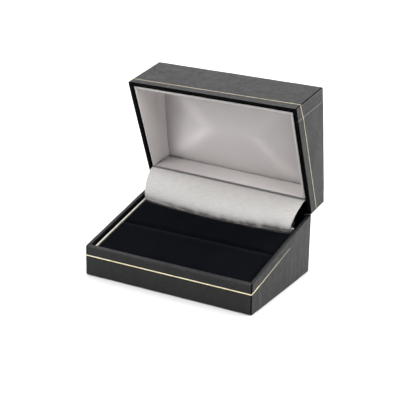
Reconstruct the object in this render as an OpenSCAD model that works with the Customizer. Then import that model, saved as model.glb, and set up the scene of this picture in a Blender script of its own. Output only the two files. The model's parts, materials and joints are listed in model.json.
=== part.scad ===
// Ring display box: a hinged presentation box for a pair of rings, shown open.
// Two wedge-shaped halves meet on a sloping plane and turn about a pin that
// runs along the upper back edge of the base.
//
// Frame: the origin is the centre of the underside, +X to the right as seen
// from the front, +Y to the back, +Z up. The lid and its lining are drawn
// shut and then turned open about the hinge line.

/* [Box] */
// Width of both halves
box_w = 82; // [70:1:100]
// Depth from front to back
box_d = 55; // [50:1:66]
// Height of the base at its front, up to the plane where the halves meet
base_front_h = 13.7; // [12.5:0.1:17]
// Height of the base at its back, up to the hinge line
base_back_h = 27; // [25:0.1:31]
// Height of the walls of the shut box
shut_h = 40.3; // [38:0.1:46]
// Angle from shut at which the open lid stands
open_angle = 82; // [70:1:95]
// Rounding of the upright corners
corner_r = 0.9; // [0.6:0.1:2]
// Gap between the two rims when the box is shut
rim_gap = 0.3; // [0.2:0.05:0.6]

/* [Moulded shells] */
// Thickness of the moulded walls
shell_t = 1.3; // [1:0.1:1.8]
// Thickness of the moulded floor and roof
floor_t = 1.6; // [1.2:0.1:2]

/* [Covering] */
// Thickness of the leatherette
cover_t = 0.4; // [0.3:0.05:0.5]
// Depth that the leatherette is turned in over the rims
turn_in = 6; // [4:0.5:8]
// Length that the front and back sheets return along the sides
side_return = 6.5; // [4:0.5:12]
// Width of the edge that is turned under the base and over the lid
turn_under = 6; // [4:0.5:10]
// Thickness of the bottom sheet and of the top panel
panel_t = 0.2; // [0.15:0.05:0.5]
// Distance from the edges to the bottom sheet and the top panel
panel_inset = 1; // [0.5:0.1:3]

/* [Foil lines] */
// Width of the stamped foil lines
foil_w = 0.55; // [0.4:0.05:1]
// Thickness of the foil
foil_t = 0.05; // [0.04:0.01:0.1]
// From the base's rim down to the foil line on the front
base_foil_front = 4.3; // [3:0.1:6]
// From the base's rim down to the foil line on the sides
base_foil_side = 3.7; // [2.5:0.1:6]
// From the lid's rim to the foil line on the front
lid_foil_front = 5.2; // [3:0.1:7]
// From the lid's rim to the foil line on the sides
lid_foil_side = 4.8; // [3:0.1:7]

/* [Hinge] */
// Length of the hinge
hinge_len = 68; // [50:1:68]
// Number of knuckles, odd so that the base leaf holds both ends
knuckle_count = 7; // [5:2:9]
// Outer radius of the knuckles
knuckle_r = 0.95; // [0.85:0.05:1.1]
// Radius of the hinge pin
pin_r = 0.5; // [0.4:0.05:0.6]
// Running clearance round the hinge pin
pin_clear = 0.05; // [0.02:0.01:0.08]
// Play at the ends of the knuckles
knuckle_play = 0.15; // [0.1:0.05:0.3]
// Clearance round the knuckles in the walls
groove_clear = 0.12; // [0.08:0.02:0.2]
// Thickness of the hinge leaves
leaf_t = 0.4; // [0.3:0.05:0.5]
// Height of the flange of each leaf
flange_h = 6.5; // [5.5:0.5:8]
// Distance from the box's centre to the outer rivets
rivet_outer_x = 29; // [24:1:32]
// Distance from the box's centre to the inner rivets
rivet_inner_x = 19; // [17:1:22]
// Distance from the rim to the rivets
rivet_drop = 3.6; // [3:0.1:4.5]
// Radius of the rivet shanks
rivet_r = 0.5; // [0.4:0.05:0.6]
// Radius of the rivet heads
rivet_head_r = 1.1; // [0.9:0.1:1.4]
// Height of the rivet heads
rivet_head_h = 0.4; // [0.3:0.05:0.6]
// Width of the bow spring
spring_w = 28; // [20:1:30]
// Thickness of the bow spring
spring_t = 0.25; // [0.15:0.05:0.35]
// Height of the spring's bow when the lid is open
spring_bow = 4.6; // [4.2:0.1:5.2]

/* [Ring insert] */
// Clearance between the card tray and the walls
tray_fit = 0.15; // [0.1:0.05:0.3]
// Thickness of the tray and riser card
card_t = 0.5; // [0.4:0.05:0.8]
// From the plane of the rims down to the pads and the tray's cut edge
pad_drop = 2; // [1.5:0.1:3]
// From the plane of the rims down to the underside of the tray
tray_depth = 10; // [9:0.1:10.5]
// Distance from the box's back face to the back of the tray
tray_back = 9; // [8.6:0.1:9.6]
// From the box's front face to the ring slot
slot_y = 25; // [20:0.5:28]
// Gap between the two pads at the ring slot
slot_gap = 0.3; // [0.2:0.05:1]
// Thickness of the velvet
velvet_t = 0.5; // [0.4:0.05:0.8]
// Radius to which the velvet rolls over the edges of the pads
velvet_roll = 1.4; // [1.2:0.1:2]
// Crown of the pads
pad_crown = 0.35; // [0.2:0.05:0.6]
// Gap between the foam and the velvet
foam_fit = 0.1; // [0.05:0.05:0.3]

/* [Hinge flap] */
// Thickness of the satin flap
flap_t = 0.4; // [0.3:0.05:0.5]
// From the box's back face to the flap's front where it meets the pad at mid width
flap_mid_back = 14.8; // [14:0.1:16]
// From the box's back face to the flap's front where it meets the pad at its ends
flap_end_back = 11.1; // [10.9:0.1:12]
// Clearance between the flap and its neighbours
flap_clear = 0.3; // [0.25:0.05:0.4]
// Distance from the side walls to the flap at its top
flap_side = 0.5; // [0.4:0.1:1]
// Extra distance from the side walls to the flap at its bottom
flap_taper = 1.2; // [0.5:0.1:2]
// Length of flap glued behind the lining
flap_tab = 5; // [3:0.5:6]
// Length of flap tucked in behind the rear pad
flap_tuck = 5; // [3:0.5:6]
// Depth of the flap's soft folds
flap_fold = 0.25; // [0:0.05:0.3]

/* [Lid lining] */
// Clearance between the lining and the walls
lining_fit = 0.1; // [0.05:0.05:0.2]
// Depth of the lining's edge behind the plane of the rims
lining_recess = 0.5; // [0.4:0.05:1]
// Thickness of the lining cards on the walls
lining_card_t = 0.8; // [0.6:0.05:1]
// Thickness of the lining card under the roof
roof_card_t = 0.6; // [0.5:0.05:0.8]
// Thickness of the satin
satin_t = 0.4; // [0.3:0.05:0.5]
// Distance from the box's back face to the lining's rear panel
hinge_bay = 9.8; // [9.6:0.1:10.2]
// Thickness of the wadding at the middle of the roof panel's edges
wadding_edge = 1.4; // [1.1:0.1:2]
// Extra thickness of the wadding at its crown
wadding_crown = 2.2; // [1:0.1:3]
// Distance over which the roof panel swells from its edges
wadding_swell = 6; // [5:0.5:10]

/* [Hidden] */

$fn = 48;
far = 150;                                  // longer than any piece
overcut = 1;                                // how far a cut runs past a face

// The plane where the halves meet
slope = atan((base_back_h - base_front_h) / box_d);
hinge_y = box_d / 2;
function rim_z(y) = base_back_h + (y - hinge_y) * tan(slope);

// Walls and levels
wall = 2 * cover_t + shell_t;               // covering outside, shell, covering inside
rim_edge = rim_gap / 2;                     // each rim from the meeting plane
shell_edge = rim_edge + cover_t;            // each shell's edge from the meeting plane
base_skin_z = panel_t;                      // lower end of the base's covering
base_shell_z = base_skin_z + cover_t;
base_floor_z = base_shell_z + floor_t;
lid_shell_z = shut_h - cover_t;
lid_roof_z = lid_shell_z - floor_t;
roof_card_z = lid_roof_z - roof_card_t;

// Lining, as distances from the lid's outer faces
card_out = wall + lining_fit;
card_in = card_out + lining_card_t;
satin_in = card_in + satin_t;

// Hinge, measured from the hinge line
leaf_in = wall + leaf_t;
strip_start = knuckle_r + groove_clear;
leaf_bed = 0.05;                            // glue under the strips of the leaves
knuckle_pitch = hinge_len / knuckle_count;
hook_l = 1.2;                               // reach of the lips that hold the spring
lip_side = 1;                               // from the spring to each end of a lip
rivet_clear = 0.03;                         // round the rivet shanks
rivet_end = cover_t + 0.3;                  // from the back face to the rivets' ends
end_clear = 0.2;                            // past each end of the leaves, twice that past the knuckles

// Pads
pad_bottom = tray_depth - card_t;
roll_steps = 3;
pad_steps = [12, 5];                        // across a pad, and from its front to its back

// Colours, as on the object
leatherette = [0.16, 0.16, 0.17];
foil = [0.82, 0.72, 0.45];
moulded = [0.1, 0.1, 0.1];
board = [0.93, 0.92, 0.88];
velvet = [0.03, 0.03, 0.04];
foam = [0.35, 0.35, 0.37];
satin = [0.8, 0.77, 0.77];
flap_satin = [0.88, 0.87, 0.86];
wadding = [0.95, 0.95, 0.94];
steel = [0.7, 0.7, 0.72];

// ---- Places and blocks -------------------------------------------------

// Frame on the meeting plane: origin on the hinge line, +Y up the slope, +Z square to it
module on_rim() {
    translate([0, hinge_y, base_back_h]) rotate([slope, 0, 0]) children();
}

// The layer between two distances from the meeting plane, upwards positive
module rim_layer(low, high) {
    on_rim() translate([-far, -far, low]) cube([2 * far, 2 * far, high - low]);
}

// Everything below, or above, a distance from the meeting plane
module below_rim(at) { rim_layer(-far, at); }
module above_rim(at) { rim_layer(at, far); }

// Turns what belongs to the lid from shut to open
module lid_open() {
    translate([0, hinge_y, base_back_h]) rotate([-open_angle, 0, 0])
        translate([0, -hinge_y, -base_back_h]) children();
}

// Rectangle with true arcs at its corners
module rounded(w, d, r) {
    square([w - 2 * r, d], center = true);
    square([w, d - 2 * r], center = true);
    for (x = [-1, 1], y = [-1, 1])
        translate([x * (w / 2 - r), y * (d / 2 - r)]) circle(r);
}

// Upright block, a given distance in from the box's faces
module block(inset, low, high, r = 0) {
    translate([0, 0, low]) linear_extrude(high - low)
        if (r > 0) rounded(box_w - 2 * inset, box_d - 2 * inset, r);
        else square([box_w - 2 * inset, box_d - 2 * inset], center = true);
}

// The parts of a covering that each sheet takes
module at_front() { translate([-far, -far, -far]) cube([2 * far, far - box_d / 2 + side_return, 2 * far]); }
module at_back() { translate([-far, box_d / 2 - side_return, -far]) cube([2 * far, far, 2 * far]); }
module at_side(side) {
    translate([side > 0 ? 0 : -far, -box_d / 2 + side_return, -far])
        cube([far, box_d - 2 * side_return, 2 * far]);
}

// ---- Shells and coverings ----------------------------------------------

// What the hinge takes out of a half: up is -1 for the base and 1 for the lid
module hinge_room(up) {
    along_hinge(hinge_len + 4 * end_clear) circle(knuckle_r + groove_clear);
    deep = rim_edge + leaf_t + leaf_bed;
    on_rim() translate([-hinge_len / 2 - end_clear, -leaf_in / cos(slope), up > 0 ? 0 : -deep])
        cube([hinge_len + 2 * end_clear, far, deep]);
    for (x = [-1, 1], at = [rivet_inner_x, rivet_outer_x])
        rivet_place(x * at, up)
            cylinder(r = rivet_r + rivet_clear, h = leaf_in - rivet_end);
}

// Outer form of the base, a given distance in from its faces
module base_form(inset, edge, low, r) {
    intersection() {
        block(inset, low, base_back_h + wall, r);
        below_rim(-edge);
    }
}

// Outer form of the lid, drawn shut
module lid_form(inset, edge, high, r) {
    intersection() {
        block(inset, base_front_h - wall, high, r);
        above_rim(edge);
    }
}

// Ring of covering turned in over a rim
module turned_in() {
    difference() {
        block(cover_t + shell_t, base_shell_z, lid_shell_z);
        block(wall, 0, shut_h);
    }
}

module base_shell() {
    color(moulded) difference() {
        base_form(cover_t, shell_edge, base_shell_z, corner_r - cover_t);
        block(cover_t + shell_t, base_floor_z, shut_h);
        hinge_room(-1);
    }
}

module base_covering() {
    color(leatherette) difference() {
        base_form(0, rim_edge, base_skin_z, corner_r);
        difference() {
            base_form(cover_t, shell_edge, base_shell_z, corner_r - cover_t);
            intersection() {
                turned_in();
                above_rim(-turn_in);
            }
        }
        block(wall, base_floor_z, shut_h);
        block(turn_under, -overcut, base_floor_z);
        hinge_room(-1);
    }
}

module base_cover_front() { intersection() { base_covering(); at_front(); } }
module base_cover_back() { intersection() { base_covering(); at_back(); } }
module base_cover_left() { intersection() { base_covering(); at_side(-1); } }
module base_cover_right() { intersection() { base_covering(); at_side(1); } }

module bottom_sheet() {
    color(leatherette) block(panel_inset, 0, panel_t);
}

module lid_shell() {
    color(moulded) lid_open() difference() {
        lid_form(cover_t, shell_edge, lid_shell_z, corner_r - cover_t);
        block(cover_t + shell_t, 0, lid_roof_z);
        hinge_room(1);
    }
}

module lid_covering() {
    color(leatherette) difference() {
        lid_form(0, rim_edge, shut_h, corner_r);
        difference() {
            lid_form(cover_t, shell_edge, lid_shell_z, corner_r - cover_t);
            intersection() {
                turned_in();
                below_rim(turn_in);
            }
        }
        block(wall, 0, lid_roof_z);
        block(turn_under, lid_roof_z, shut_h + overcut);
        hinge_room(1);
    }
}

module lid_cover_front() { lid_open() intersection() { lid_covering(); at_front(); } }
module lid_cover_back() { lid_open() intersection() { lid_covering(); at_back(); } }
module lid_cover_left() { lid_open() intersection() { lid_covering(); at_side(-1); } }
module lid_cover_right() { lid_open() intersection() { lid_covering(); at_side(1); } }

module lid_top_panel() {
    color(leatherette) lid_open() block(panel_inset, shut_h, shut_h + panel_t);
}

// ---- Foil lines --------------------------------------------------------

// Thin skin of foil on all four faces
module foil_skin() {
    difference() {
        block(-foil_t, 0, shut_h, corner_r + foil_t);
        block(0, -overcut, shut_h + overcut, corner_r);
    }
}

// Foil on the front and round its corners, centred at a height
module foil_front(z) {
    color(foil) intersection() {
        foil_skin();
        translate([-far, -box_d, z - foil_w / 2]) cube([2 * far, box_d / 2 + corner_r, foil_w]);
    }
}

// Foil on both sides, parallel to the rim; down is the distance below the meeting plane
module foil_sides(down) {
    color(foil) intersection() {
        foil_skin();
        rim_layer(-down * cos(slope) - foil_w / 2, -down * cos(slope) + foil_w / 2);
        translate([-far, -box_d / 2 + corner_r, 0]) cube([2 * far, box_d - 2 * corner_r, far]);
    }
}

module base_foil_line() {
    foil_front(base_front_h - base_foil_front);
    foil_sides(base_foil_side);
}

module lid_foil_line() {
    lid_open() {
        foil_front(base_front_h + lid_foil_front);
        foil_sides(-lid_foil_side);
    }
}

// ---- Snap hinge --------------------------------------------------------

// Height of the meeting plane where the flanges are
flange_rim_z = rim_z(hinge_y - leaf_in);

// A rivet's place: +Z runs from the leaf's inner face into the wall
module rivet_place(x, up) {
    translate([x, hinge_y - leaf_in, flange_rim_z + up * rivet_drop])
        rotate([-90, 0, 0]) children();
}

// Lays a section drawn in Y and Z, measured from the hinge line, along X
module along_hinge(length) {
    translate([0, hinge_y, base_back_h]) rotate([90, 0, 90]) linear_extrude(length, center = true)
        children();
}

// Section of a leaf: a flange on the wall's inner face and a strip over the rim
module leaf_section(up, end) {
    intersection() {
        union() {
            translate([-leaf_in, up > 0 ? -leaf_in : end]) square([leaf_t, leaf_in + abs(end)]);
            rotate(slope) translate([-2 * leaf_in, up > 0 ? rim_edge : -rim_edge - leaf_t])
                square([2 * leaf_in - strip_start, leaf_t]);
        }
        rotate(slope) translate([-far, up > 0 ? rim_edge : -rim_edge - far]) square([2 * far, far]);
        translate([-leaf_in, -far]) square([leaf_in, 2 * far]);
        translate([-far, up > 0 ? -far : end]) square([2 * far, up > 0 ? far + end : far]);
    }
}

// One leaf with its knuckles and the lip that holds the spring
module leaf(up, turns) {
    end = flange_rim_z - base_back_h + up * flange_h;
    color(steel) difference() {
        union() {
            along_hinge(hinge_len) leaf_section(up, end);
            along_hinge(spring_w + 2 * lip_side) translate([-leaf_in - hook_l, up > 0 ? end - leaf_t : end])
                square([hook_l + leaf_t, leaf_t]);
            for (i = turns)
                translate([(i + 0.5) * knuckle_pitch - hinge_len / 2, 0, 0])
                    along_hinge(knuckle_pitch - knuckle_play) {
                        circle(knuckle_r);
                        rotate(slope) translate([-strip_start - leaf_t, up > 0 ? rim_edge : -rim_edge - leaf_t])
                            square([strip_start + leaf_t, leaf_t]);
                    }
        }
        along_hinge(hinge_len + 2 * overcut) circle(pin_r + pin_clear);
        for (x = [-1, 1], at = [rivet_inner_x, rivet_outer_x])
            rivet_place(x * at, up) translate([0, 0, -overcut])
                cylinder(r = rivet_r + rivet_clear, h = leaf_t + 2 * overcut);
    }
}

module hinge_leaf_base() { leaf(-1, [0 : 2 : knuckle_count - 1]); }
module hinge_leaf_lid() { lid_open() leaf(1, [1 : 2 : knuckle_count - 2]); }

module hinge_pin() { color(steel) along_hinge(hinge_len) circle(pin_r); }

module rivets(up) {
    color(steel) for (x = [-1, 1], at = [rivet_inner_x, rivet_outer_x])
        rivet_place(x * at, up) {
            translate([0, 0, -rivet_head_h]) cylinder(r = rivet_head_r, h = rivet_head_h);
            cylinder(r = rivet_r, h = leaf_in - rivet_end);
        }
}

module hinge_rivets_base() { rivets(-1); }
module hinge_rivets_lid() { lid_open() rivets(1); }

// A point of the shut lid, turned to where it is when the lid is open
function opened(p) = let (a = p[0] - hinge_y, b = p[1] - base_back_h)
    [hinge_y + a * cos(open_angle) + b * sin(open_angle),
     base_back_h - a * sin(open_angle) + b * cos(open_angle)];

// Bow spring: one arc of strip from the base leaf's lip to the lid leaf's lip
hook_y = hinge_y - leaf_in - hook_l / 2;
hook_gap = leaf_t + spring_t;
spring_from = [hook_y, flange_rim_z - flange_h + hook_gap];
spring_to = opened([hook_y, flange_rim_z + flange_h - hook_gap]);

module hinge_spring() {
    chord = norm(spring_to - spring_from);
    along = (spring_to - spring_from) / chord;
    out = [-along[1], along[0]];
    radius = (chord * chord / 4 + spring_bow * spring_bow) / (2 * spring_bow);
    centre = (spring_from + spring_to) / 2 + out * (spring_bow - radius);
    half = asin(chord / 2 / radius);
    steps = 20;
    function bow(r, k) = let (a = half * (2 * k / steps - 1)) centre + r * (out * cos(a) + along * sin(a));
    color(steel) translate([0, -hinge_y, -base_back_h]) along_hinge(spring_w)
        polygon(concat([for (k = [0 : steps]) bow(radius + spring_t / 2, k)],
                       [for (k = [steps : -1 : 0]) bow(radius - spring_t / 2, k)]));
}

// ---- Ring insert -------------------------------------------------------

tray_x = box_w / 2 - wall - tray_fit;        // half the tray's width
tray_front_y = -box_d / 2 + wall + tray_fit;
tray_back_y = hinge_y - tray_back;

// Upright column of the tray's plan, a given distance in, open at the front or not
module tray_plan(inset, front_inset, low) {
    translate([-tray_x + inset, tray_front_y + front_inset, low])
        cube([2 * (tray_x - inset), tray_back_y - tray_front_y - inset - front_inset, far]);
}

module insert_tray() {
    color(board) difference() {
        intersection() {
            tray_plan(0, 0, 0);
            rim_layer(-tray_depth, -pad_drop);
        }
        intersection() {
            tray_plan(card_t, -overcut, 0);
            above_rim(-pad_bottom);
        }
    }
}

// Folded strip that stands on the floor and carries the tray along its sides and back
module insert_riser() {
    color(board) intersection() {
        difference() {
            tray_plan(0, 0, base_floor_z);
            tray_plan(card_t, -overcut, 0);
        }
        below_rim(-tray_depth);
    }
}

// Soft pads. A pad's places run across x and from front to back, closer together
// where the velvet rolls over its edges.
function places(half, roll, inner) = concat(
    [for (k = [0 : roll_steps - 1]) -half + roll * (1 - cos(90 * k / roll_steps))],
    [for (k = [0 : inner]) -(half - roll) + 2 * (half - roll) * k / inner],
    [for (k = [roll_steps - 1 : -1 : 0]) half - roll * (1 - cos(90 * k / roll_steps))]);

// How far the surface has rolled down at a distance from the middle
function roll_fall(at, half, roll) = let (e = max(0, half - abs(at)))
    e >= roll ? 0 : roll - sqrt(roll * roll - (roll - e) * (roll - e));

// Front of the hinge flap at the pad: pressed forward at mid width
function flap_front(x) = hinge_y - flap_mid_back
    + (flap_mid_back - flap_end_back) * pow(x / (tray_x - card_t), 2);

pad_half_x = tray_x - card_t - foam_fit;
front_pad_y = [tray_front_y, -box_d / 2 + slot_y - slot_gap / 2];
rear_pad_y = [-box_d / 2 + slot_y + slot_gap / 2, flap_front(pad_half_x) - flap_clear];

// Bow of the rear pad's back edge, which follows the flap
function pad_bow(x) = flap_front(x) - flap_front(pad_half_x);

// A pad's surface, "shrink" inside the velvet's outer face
function pad_grid(ends, shrink, bowed) =
    let (half_x = pad_half_x - shrink, half_y = (ends[1] - ends[0]) / 2 - shrink,
         mid = (ends[0] + ends[1]) / 2, roll = max(velvet_roll - shrink, 0.3))
    [for (x = places(half_x, roll, pad_steps[0])) [for (v = places(half_y, roll, pad_steps[1]))
        let (y = mid + v + (bowed ? pad_bow(x) * pow((v + half_y) / (2 * half_y), 2) : 0),
             down = pad_drop + shrink + roll_fall(x, half_x, roll) + roll_fall(v, half_y, roll)
                  - pad_crown * (1 - pow(x / half_x, 2)) * (1 - pow(v / half_y, 2)))
        [x, y, rim_z(y) - down / cos(slope)]]];

// The same edge, dropped to the tray's floor
function dropped(p) = [p[0], p[1], rim_z(p[1]) - pad_bottom / cos(slope)];

// Points of a grid, and the places of its outer edge in order
function flat(grid) = [for (row = grid) for (p = row) p];
function edge_of(nx, ny) = concat(
    [for (i = [0 : nx - 2]) i * ny], [for (j = [0 : ny - 2]) (nx - 1) * ny + j],
    [for (i = [nx - 1 : -1 : 1]) i * ny + ny - 1], [for (j = [ny - 1 : -1 : 1]) j]);

// Triangles of a grid that faces up, of one that faces down, and of a band between two loops
function up_faces(nx, ny, at) = [for (i = [0 : nx - 2], j = [0 : ny - 2], h = [0, 1])
    let (a = at + i * ny + j, b = a + ny) h == 0 ? [a, a + 1, b + 1] : [a, b + 1, b]];
function flipped(faces) = [for (f = faces) [f[0], f[2], f[1]]];
function band(top, bottom) = let (n = len(top)) [for (k = [0 : n - 1], h = [0, 1])
    let (m = (k + 1) % n) h == 0 ? [top[k], top[m], bottom[m]] : [top[k], bottom[m], bottom[k]]];
function shifted(list, by) = [for (v = list) v + by];

// Solid block of foam under the velvet
module foam_block(ends, bowed) {
    grid = pad_grid(ends, velvet_t + foam_fit, bowed);
    nx = len(grid);
    ny = len(grid[0]);
    top = flat(grid);
    edge = edge_of(nx, ny);
    low = [for (k = edge) dropped(top[k])];
    mid = dropped(top[floor(nx / 2) * ny + floor(ny / 2)]);
    n = nx * ny;
    m = len(edge);
    ring = [for (k = [0 : m - 1]) n + k];
    color(foam) polyhedron(concat(top, low, [mid]), concat(
        up_faces(nx, ny, 0), band(edge, ring),
        [for (k = [0 : m - 1]) [ring[k], ring[(k + 1) % m], n + m]]));
}

// Velvet drawn over the foam and down its four sides
module velvet_cover(ends, bowed) {
    outer = pad_grid(ends, 0, bowed);
    inner = pad_grid(ends, velvet_t, bowed);
    nx = len(outer);
    ny = len(outer[0]);
    n = nx * ny;
    edge = edge_of(nx, ny);
    m = len(edge);
    out_points = flat(outer);
    in_points = flat(inner);
    out_low = [for (k = edge) dropped(out_points[k])];
    in_low = [for (k = edge) dropped(in_points[k])];
    out_ring = [for (k = [0 : m - 1]) 2 * n + k];
    in_ring = shifted(out_ring, m);
    color(velvet) polyhedron(concat(out_points, in_points, out_low, in_low), concat(
        up_faces(nx, ny, 0), band(edge, out_ring),
        flipped(up_faces(nx, ny, n)), flipped(band(shifted(edge, n), in_ring)),
        band(out_ring, in_ring)));
}

module foam_front() { foam_block(front_pad_y, false); }
module foam_rear() { foam_block(rear_pad_y, true); }
module velvet_front() { velvet_cover(front_pad_y, false); }
module velvet_rear() { velvet_cover(rear_pad_y, true); }

// ---- Hinge flap --------------------------------------------------------

// The flap leaves the lid behind the lining's rear panel, rolls over and goes down
// behind the rear pad. Its section is a tab, a soft quarter roll and a tuck.
flap_tab_y = hinge_y - hinge_bay + satin_t + lining_card_t + flap_clear + flap_t / 2;
flap_over = 0.7;                            // from the meeting plane up to the roll's end
flap_square = 1.6;                          // 2 is a true ellipse, less is flatter
flap_columns = 24;
fold_turn = 20;                             // degrees of the folds' wave per mm of width
flap_roll_steps = 10;

function flap_section(x) =
    let (start = opened([flap_tab_y, rim_z(flap_tab_y) + lining_recess]),
         tab = opened([flap_tab_y, rim_z(flap_tab_y) + lining_recess + flap_tab]),
         y = flap_front(x) + flap_t / 2,
         end = [y, rim_z(y) + flap_over / cos(slope)],
         tuck = [y, rim_z(y) - (pad_drop + flap_tuck) / cos(slope)])
    concat([tab, (tab + start) / 2],
        [for (k = [0 : flap_roll_steps]) let (a = 90 * k / flap_roll_steps)
            [start[0] - (start[0] - end[0]) * pow(sin(a), 2 / flap_square)
                 - flap_fold * sin(180 * k / flap_roll_steps) * cos(x * fold_turn),
             end[1] + (start[1] - end[1]) * pow(cos(a), 2 / flap_square)]],
        [(end + tuck) / 2, tuck]);

// One face of the flap: its section moved square to itself, side +1 or -1
function flap_face(x, side) = let (s = flap_section(x), n = len(s))
    [for (k = [0 : n - 1]) let (d = s[min(k + 1, n - 1)] - s[max(k - 1, 0)], l = norm(d))
        s[k] + side * flap_t / 2 * [d[1], -d[0]] / l];

module hinge_flap() {
    half = box_w / 2 - wall - flap_side;
    ny = flap_roll_steps + 5;
    nx = flap_columns + 1;
    n = nx * ny;
    function spread(k) = half - flap_taper * k / (ny - 1);
    function face(side) = [for (i = [0 : flap_columns])
        let (u = 2 * i / flap_columns - 1, f = flap_face(u * half, side))
        for (k = [0 : ny - 1]) [u * spread(k), f[k][0], f[k][1]]];
    edge = edge_of(nx, ny);
    color(flap_satin) polyhedron(concat(face(-1), face(1)), concat(
        up_faces(nx, ny, 0), flipped(up_faces(nx, ny, n)), band(edge, shifted(edge, n))));
}

// ---- Lid lining --------------------------------------------------------

// Block inside the lining, a given distance in; its back is the rear panel's
function lining_back(inset) = hinge_y - hinge_bay + satin_in - inset;
module lining_block(inset, low, high) {
    translate([-box_w / 2 + inset, -box_d / 2 + inset, low])
        cube([box_w - 2 * inset, lining_back(inset) + box_d / 2 - inset, high - low]);
}

// Slabs of lining on the front, the rear and the sides, between two distances in from
// the lid's faces; "ends" is where each slab stops, measured in the same way
module front_slab(near, deep, ends) {
    translate([-box_w / 2 + ends, -box_d / 2 + near, 0])
        cube([box_w - 2 * ends, deep - near, roof_card_z]);
}
module rear_slab(near, deep, ends) {
    translate([-box_w / 2 + ends, lining_back(deep), 0])
        cube([box_w - 2 * ends, deep - near, roof_card_z]);
}
module side_slab(side, near, deep, ends) {
    translate([side > 0 ? box_w / 2 - deep : -box_w / 2 + near, -box_d / 2 + ends, 0])
        cube([deep - near, lining_back(ends) + box_d / 2 - ends, roof_card_z]);
}

// A card stops short of the rim by the satin that is folded over its edge
module wall_card() {
    color(board) lid_open() intersection() {
        children();
        above_rim(lining_recess + satin_t);
    }
}

// Satin on a card's inner face, the first child, and over its edge, the second
module wall_satin() {
    color(satin) lid_open() {
        intersection() {
            children(0);
            above_rim(lining_recess);
        }
        intersection() {
            children(1);
            rim_layer(lining_recess, lining_recess + satin_t);
        }
    }
}

module lining_card_roof() { color(board) lid_open() lining_block(card_out, roof_card_z, lid_roof_z); }
module lining_card_front() { wall_card() front_slab(card_out, card_in, card_out); }
module lining_card_rear() { wall_card() rear_slab(card_out, card_in, card_out); }
module lining_card_left() { wall_card() side_slab(-1, card_out, card_in, card_in); }
module lining_card_right() { wall_card() side_slab(1, card_out, card_in, card_in); }

module satin_front() {
    wall_satin() {
        front_slab(card_in, satin_in, card_in);
        front_slab(card_out, satin_in, card_out);
    }
}
module satin_rear() {
    wall_satin() {
        rear_slab(card_in, satin_in, card_in);
        rear_slab(card_out, satin_in, card_out);
    }
}
module satin_side(side) {
    wall_satin() {
        side_slab(side, card_in, satin_in, satin_in);
        side_slab(side, card_out, satin_in, satin_in);
    }
}
module satin_left() { satin_side(-1); }
module satin_right() { satin_side(1); }

// Padded roof panel: it swells from its edges and is drawn down at its corners
roof_half_x = box_w / 2 - satin_in - lining_fit;
roof_front_y = -box_d / 2 + satin_in + lining_fit;
roof_back_y = hinge_y - hinge_bay - lining_fit;
roof_half_y = (roof_back_y - roof_front_y) / 2;
roof_mid_y = (roof_back_y + roof_front_y) / 2;
corner_blend = 2;                           // distance over which two edges' swells meet

function swell(x, v) = let (a = (roof_half_x - abs(x)) / corner_blend, b = (roof_half_y - abs(v)) / corner_blend,
    d = -corner_blend * ln(exp(-a) + exp(-b)))
    wadding_edge + wadding_crown * (1 - exp(-d / wadding_swell));

// Places from edge to edge, closer together near the edges
function eased(half, n) = [for (k = [0 : n]) -half * cos(180 * k / n)];

function roof_grid(extra) = [for (x = eased(roof_half_x, 20)) [for (v = eased(roof_half_y, 14))
    [x, roof_mid_y + v, roof_card_z - (extra < 0 ? 0 : swell(x, v) + extra)]]];

// Layer of the roof panel between two depths; less than 0 is the card's face
module roof_layer(near, deep) {
    grid = roof_grid(near);
    nx = len(grid);
    ny = len(grid[0]);
    edge = edge_of(nx, ny);
    polyhedron(concat(flat(grid), flat(roof_grid(deep))), concat(
        up_faces(nx, ny, 0), flipped(up_faces(nx, ny, nx * ny)),
        band(edge, shifted(edge, nx * ny))));
}

module roof_wadding() { color(wadding) lid_open() roof_layer(-1, 0); }
module satin_roof() { color(satin) lid_open() roof_layer(0, satin_t); }

// ---- Assembly ----------------------------------------------------------

base_shell();
base_cover_front();
base_cover_left();
base_cover_right();
base_cover_back();
base_foil_line();
bottom_sheet();
insert_riser();
insert_tray();
foam_front();
foam_rear();
velvet_front();
velvet_rear();
hinge_leaf_base();
hinge_pin();
hinge_rivets_base();
hinge_spring();
hinge_flap();
lid_shell();
lid_cover_front();
lid_cover_left();
lid_cover_right();
lid_cover_back();
lid_top_panel();
lid_foil_line();
hinge_leaf_lid();
hinge_rivets_lid();
lining_card_roof();
lining_card_front();
lining_card_left();
lining_card_right();
lining_card_rear();
roof_wadding();
satin_roof();
satin_front();
satin_left();
satin_right();
satin_rear();
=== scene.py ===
# %% [markdown]
# # A ring display box, open on a pale floor
# The real box is two wedge-shaped halves of moulded board, joined by a snap hinge along the upper
# back edge. Black leatherette paper covers both, a thin gold line is stamped round each, a satin
# lining pads the lid, and two velvet pads grip the rings. The hard parts that nobody reshapes,
# such as the hinge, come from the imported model. What is thin, folded or soft is made here.

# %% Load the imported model
import json
import math

import bmesh
import bpy
import numpy as np
from mathutils import Matrix, Vector, noise


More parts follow.
